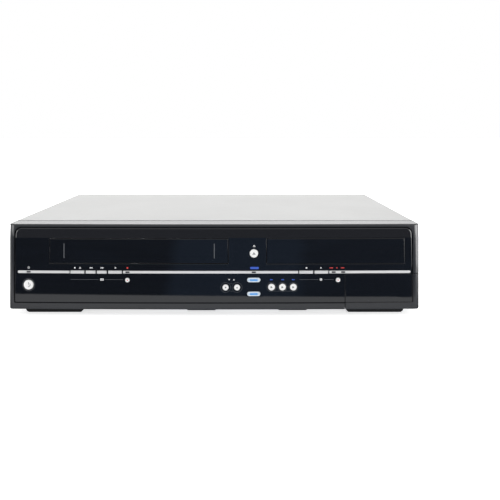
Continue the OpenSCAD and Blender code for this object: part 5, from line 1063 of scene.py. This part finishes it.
def place_copies(name, bm, places, material, body, stands_for=()):
    """Copies of bm, drawn along +z at the origin in mm, at (point mm, turn in radians)."""
    part_object = link_object(name + "_part", write_mesh(name + "_part", bm))
    points = bpy.data.meshes.new(name + "_points")
    points.from_pydata([tuple(c * MM for c in p) for p, _ in places], [], [])
    attribute = points.attributes.new("turn", "FLOAT_VECTOR", "POINT")
    attribute.data.foreach_set("vector", [c for _, t in places for c in t])
    run_geometry(name, points, copy_rule, {"Part": part_object, "Finish": material}, body, stands_for)
    bpy.data.objects.remove(part_object)


# %% Cover screws
QUARTER = math.radians(90)
SCREW_Z, SCREWS_Y, SCREWS_X = PAN + 9, (60, 265), (LEFT + 30, 0, RIGHT - 30)
head = [(0, 1.55), (0.5, 1.5), (0.55, 2.25), (1.4, 2.12), (2.4, 1.75), (3.1, 1.2), (3.5, 0.6), (3.45, 0.1),
        (1.2, 0.08), (1.2, -2.9), (0, -3.0)]
bm = bmesh.new()
add_turned(bm, head, (0, 0, 0), "z", 32)
screw_places = [((side * RIGHT, COVER_FRONT + y, SCREW_Z), (0, side * QUARTER, 0))
                for side in (-1, 1) for y in SCREWS_Y]
screw_places += [((x, BACK, HEIGHT - 6.5), (-QUARTER, 0, 0)) for x in SCREWS_X]
place_copies("pan_head_screws", bm, screw_places, black_steel, "chassis", ["cover_screws"])

# %% Coloured rings of the phono sockets
PHONO_STEP, REAR_PHONO_X, REAR_PHONO_UP = 15, 102, (10.2, 26.2)
ring = [(2.2, 0.0), (3.05, 0.0), (3.05, 1.1), (2.9, 1.3), (2.2, 1.3), (2.2, 0.0)]
for i, (name, plastic) in enumerate(PHONO.items()):
    bm = bmesh.new()
    add_turned(bm, ring, (0, 0, 0), "z", 32)
    bmesh.ops.remove_doubles(bm, verts=bm.verts[:], dist=0.001)
    places = [((REAR_PHONO_X + PHONO_STEP * i, BACK + 8.2, BOARD_Z + up), (-QUARTER, 0, 0))
              for up in REAR_PHONO_UP]
    places += [((FLAP_X + PHONO_STEP * (i + 2), FRONT + 10.2, FOOT + 16.4), (QUARTER, 0, 0))]
    place_copies("phono_ring_" + name, bm, places, plastic, "chassis")

# %% [markdown]
# ## Finishes for the inner parts
# The boards, the mechanisms and the drives stay as their CAD nodes. They show through slots and when
# the door, the flap or the tray is open, so each gets its own finish, chosen by its material slot.
#
# A board is one node with all its chips and coils on it. Cutting it up would lose the node, so its
# finish is painted by place instead: a mask is 1 inside a box of space, and each box has a colour.

# %% Group: 1 inside a box of space, 0 outside it
box_mask, given, result = start_group("box_mask", [("Centre", (0, 0, 0)), ("Half", (1, 1, 1))], ["Inside"])
off = add_vector_math(box_mask, "SUBTRACT", object_place(box_mask), given["Centre"])
past_half = add_vector_math(box_mask, "SUBTRACT", add_vector_math(box_mask, "ABSOLUTE", off), given["Half"])
apart = add_node(box_mask, "ShaderNodeSeparateXYZ", {0: past_half}).outputs
widest = add_math(box_mask, "MAXIMUM", add_math(box_mask, "MAXIMUM", apart[0], apart[1]), apart[2])
give(box_mask, result, Inside=add_math(box_mask, "LESS_THAN", widest, 0.0))


# %% Helper: a board whose parts have colours of their own
def colour_parts(name, board, regions):
    """A copy of the board's finish, painted inside each box (x, y, z, colour) in mm."""
    material = board.copy()
    material.name = name
    tree = material.node_tree
    base = tree.nodes["Principled BSDF"].inputs["Base Color"]
    colour = base.links[0].from_socket
    for *box, paint in regions:
        inside = add_node(tree, "ShaderNodeGroup", {"Centre": tuple((a + b) / 2 * MM for a, b in box),
                                                    "Half": tuple((b - a) / 2 * MM for a, b in box)},
                          node_tree=box_mask)
        colour = blend(tree, inside.outputs[0], colour, paint)
    tree.links.new(colour, base)
    print(name + ":", len(regions), "painted boxes")
    return material


# %% Main board: chips, heat sink, capacitors with their tops, connectors
BOARD_TOP, ANY_TOP = BOARD_Z + BOARD_T + 0.05, 60
CHIP, ALLOY, SLEEVE = (0.018, 0.018, 0.02), (0.42, 0.43, 0.44), (0.012, 0.016, 0.05)
CREAM, IRON, TAPE, FOIL = (0.6, 0.56, 0.45), (0.09, 0.085, 0.08), (0.55, 0.36, 0.03), (0.5, 0.5, 0.5)
main_finish = colour_parts("main_board_parts", board_green, [
    ((-110, 215), (-90, 165), (BOARD_TOP, ANY_TOP), CHIP),
    ((82, 124), (-43, -1), (21.5, ANY_TOP), ALLOY),
    ((36, 44), (-65, -8), (BOARD_TOP, 30.2), SLEEVE),
    ((36, 44), (-65, -8), (30.2, 40), FOIL),
    ((99, 161), (59.5, 66.5), (BOARD_TOP, 40), CREAM)])

# %% Power board: capacitors, heat sink, transformer core and winding, line filter, tops
power_finish = colour_parts("power_board_parts", board_amber, [
    ((-210, -155), (25, 161), (BOARD_TOP, ANY_TOP), SLEEVE),
    ((-205, -160), (50, 70), (BOARD_TOP, ANY_TOP), ALLOY),
    ((-198, -167), (75, 113), (BOARD_TOP, ANY_TOP), IRON),
    ((-198, -167), (88.3, 99.8), (BOARD_TOP, ANY_TOP), TAPE),
    ((-179, -158), (119, 139), (BOARD_TOP, ANY_TOP), TAPE),
    ((-205, -158), (30, 50), (39.0, ANY_TOP), FOIL),
    ((-204, -183), (118, 138), (51.0, ANY_TOP), FOIL)])

# %% Key board: switches in front, painted shade on its upper part, and pale light guides
KEYS = (-210, 140)
key_finish = colour_parts("key_board_parts", board_green, [
    (KEYS, (-180, KEY_Y - 0.05), (10, 80), CHIP),
    # The board above the strip is painted near black: painted shade where it lies behind the panel
    (KEYS, (-180, -150), (STRIP_Z + 1.2, 90), CHIP),
    (KEYS, (-180, KEY_Y - 0.05), (STRIP_Z - 0.8, STRIP_Z + 0.8), CREAM)])

# %% A finish for every CAD node that still shows
SLOT_FINISH = {
    "bezel_satin": satin_grey, "plated_steel": plated_sheet, "foot_rubber": foot_rubber,
    "screw_steel": black_steel, "socket_black": socket_black, "socket_metal": nickel,
    "tuner_plate": tin_plate, "board_green": board_green, "board_amber": board_amber,
    "disk_alloy": cast_alloy, "fan_black": filled_black, "drum_alloy": turned_alloy,
    "shaft_steel": ground_steel, "arm_steel": plated_sheet, "roller_rubber": roller_rubber,
    "reel_nylon": natural_nylon, "motor_can": tin_plate, "mech_dark": filled_black,
    "table_rubber": filled_black,
}
NODE_FINISH = {"main_board": main_finish, "power_board": power_finish, "key_board": key_finish}
slot_of = {s["node"]: s["material_slot"] for s in frame["record"]["subparts"]}
shown = {node: obj.data.materials for node, obj in frame["nodes"].items() if not obj.hide_render}
for node, materials in shown.items():
    materials.clear()
    materials.append(NODE_FINISH.get(node) or SLOT_FINISH[slot_of[node]])
print("CAD nodes shown with a finish:", len(shown))

# %% [markdown]
# ## Floor and light
# The recorder stands on a white table in a white studio. A gloss black front mirrors what is in front
# of it. So for mirror rays the table is white only near the recorder, with a slanting far edge, and
# beyond it lies a dark room with a blue-grey wall in the middle, as it is behind a photographer. The
# camera sees the floor as plain white, with the recorder's soft shadow on it.

# %% Floor, and what the camera sees of it
FLOOR_SIZE = 12.0
bm = bmesh.new()
bmesh.ops.create_grid(bm, x_segments=1, y_segments=1, size=FLOOR_SIZE)
floor_mesh = bpy.data.meshes.new("floor")
bm.to_mesh(floor_mesh)
bm.free()
floor = link_object("floor", floor_mesh)
table_white = bpy.data.materials.new("table_white")
table_white.use_nodes = True
floor_mesh.materials.append(table_white)
tree = table_white.node_tree
principled = tree.nodes["Principled BSDF"]
principled.inputs["Base Color"].default_value = (0.95, 0.95, 0.95, 1)
principled.inputs["Roughness"].default_value = 0.9
principled.inputs["Specular IOR Level"].default_value = 0.1
path = add_node(tree, "ShaderNodeLightPath").outputs
lift = add_node(tree, "ShaderNodeEmission", {"Color": (1, 1, 1, 1), "Strength": add_math(
    tree, "MULTIPLY", path["Is Camera Ray"], 0.7)})
whiter = add_node(tree, "ShaderNodeAddShader", {0: principled.outputs[0], 1: lift.outputs[0]}).outputs[0]
print("floor:", 2 * FLOOR_SIZE, "m wide")

# %% The table that the black panel mirrors, in metres on the floor, with the recorder's shadow painted on it
# Near the recorder's front the mirrored table darkens to 0.35 of its white: painted shadow of the recorder
TABLE_END, TABLE_SHADOW_FADE, PAINTED_SHADOW_DARKEST = (-0.28, -0.2745), (-0.225, -0.185), 0.35
SLANT, CURVE = 0.038, 0.105
ENDS_X, ENDS_Y = (0.29, 0.33), (-0.4, -0.34)
spot = object_place(tree)
x, y = add_node(tree, "ShaderNodeSeparateXYZ", {0: spot}).outputs[:2]
steeper = add_math(tree, "ADD", add_math(tree, "MULTIPLY", x, CURVE), SLANT)
from_edge = add_math(tree, "SUBTRACT", y, add_math(tree, "MULTIPLY", x, steeper))
table = add_math(tree, "MULTIPLY", ramp(tree, from_edge, *TABLE_END),
                 ramp(tree, y, *TABLE_SHADOW_FADE, 1.0, PAINTED_SHADOW_DARKEST))
beside = ramp(tree, add_math(tree, "ABSOLUTE", x), *ENDS_X)
at_the_ends = add_math(tree, "MULTIPLY", beside, ramp(tree, y, *ENDS_Y))
table_seen = add_math(tree, "MAXIMUM", table, at_the_ends)
print("far edge of the table at y:", *TABLE_END, "m")

# %% The dark room beyond it, with its wall; a spot shows at x / (0.78 - 1.23 y) on the panel
DARK, WALL_BLUE, TABLE_BLUE = (0.02, 0.04, 0.06), (0.08, 0.14, 0.23), (0.96, 0.98, 1.0)
WALL_START, WALL_END, PAST_WALL = (-0.064, -0.048), (0.084, 0.1), 0.3
shown_at = add_math(tree, "DIVIDE", x, add_math(tree, "ADD", add_math(tree, "MULTIPLY", y, -1.23), 0.78))
wall = add_math(tree, "MULTIPLY", ramp(tree, shown_at, *WALL_START),
                ramp(tree, shown_at, *WALL_END, 1.0, PAST_WALL))
patches = ramp(tree, noise(tree, spot, 5.0, 2.0, 0.5, Distortion=1.0), 0.3, 0.7, -0.2, 0.2)
dark_room = blend(tree, add_math(tree, "ADD", wall, patches, clamp=True), DARK, WALL_BLUE)
mirrored = blend(tree, table_seen, dark_room, TABLE_BLUE)
mirror = add_node(tree, "ShaderNodeEmission", {"Color": mirrored, "Strength": 1.0}).outputs[0]
pick = add_node(tree, "ShaderNodeMixShader", {0: path["Is Glossy Ray"], 1: whiter, 2: mirror})
tree.links.new(pick.outputs[0], tree.nodes["Material Output"].inputs["Surface"])
print("floor finish:", len(tree.nodes), "nodes")

# %% [markdown]
# ### World and lamps
# The world is white for the camera, an even grey for soft light, and for mirror rays a dark room in
# front with a bright sky above and behind. One soft box behind lights the cover and two at the sides
# light the edges. A last small lamp is seen by mirror rays only, as one bright line on the right edge.

# %% World
world = bpy.data.worlds.new("studio")
scene.world = world
world.use_nodes = True
tree = world.node_tree
sky = tree.nodes["Background"]
toward = add_node(tree, "ShaderNodeTexCoord").outputs["Generated"]
x, y, z = add_node(tree, "ShaderNodeSeparateXYZ", {0: toward}).outputs
open_sky = add_math(tree, "MAXIMUM", ramp(tree, y, -0.55, -0.1), ramp(tree, z, 0.25, 0.6))
room = blend(tree, open_sky, (0.2, 0.21, 0.23), (1, 1, 1))
room = add_node(tree, "ShaderNodeVectorMath", {0: room, "Scale": ramp(tree, y, 0.3, 0.7, 1.0, 1.6)},
                operation="SCALE").outputs[0]
path = add_node(tree, "ShaderNodeLightPath").outputs
seen = blend(tree, path["Is Glossy Ray"], (0.6, 0.6, 0.6), room)
tree.links.new(blend(tree, path["Is Camera Ray"], seen, (1, 1, 1)), sky.inputs["Color"])
sky.inputs["Strength"].default_value = 1.0
print("world:", len(tree.nodes), "nodes")

# %% Soft boxes: name, place, size, power, target, and whether it lights the surfaces
MIDDLE, RIGHT_EDGE = (0, 0, 0.05), (RIGHT * MM, skin(RIGHT) * MM, 0.06)
LAMP_TABLE = [
    ("soft_box_back", (-0.1, 0.6, 0.6), (1.0, 0.4), 2.0, MIDDLE, True),
    ("soft_box_left", (-1.2, -0.95, 0.37), (0.9, 0.6), 6.8, MIDDLE, True),
    ("soft_box_right", (1.05, -1.0, 0.35), (0.9, 0.65), 7.2, MIDDLE, True),
    ("edge_light", (0.40, -0.25, 0.11), (0.2, 0.2), 0.75, RIGHT_EDGE, False),
]
for name, place, size, power, target, lights_surfaces in LAMP_TABLE:
    lamp_data = bpy.data.lights.new(name, "AREA")
    lamp_data.shape = "RECTANGLE"
    lamp_data.size, lamp_data.size_y = size
    lamp_data.energy = power
    lamp = link_object(name, lamp_data)
    lamp.location = place
    lamp.rotation_euler = (Vector(target) - Vector(place)).to_track_quat("-Z", "Y").to_euler()
    lamp.visible_camera = False
    lamp.visible_diffuse = lights_surfaces
    print(name + ":", power, "W")
scene.view_settings.view_transform = "Standard"
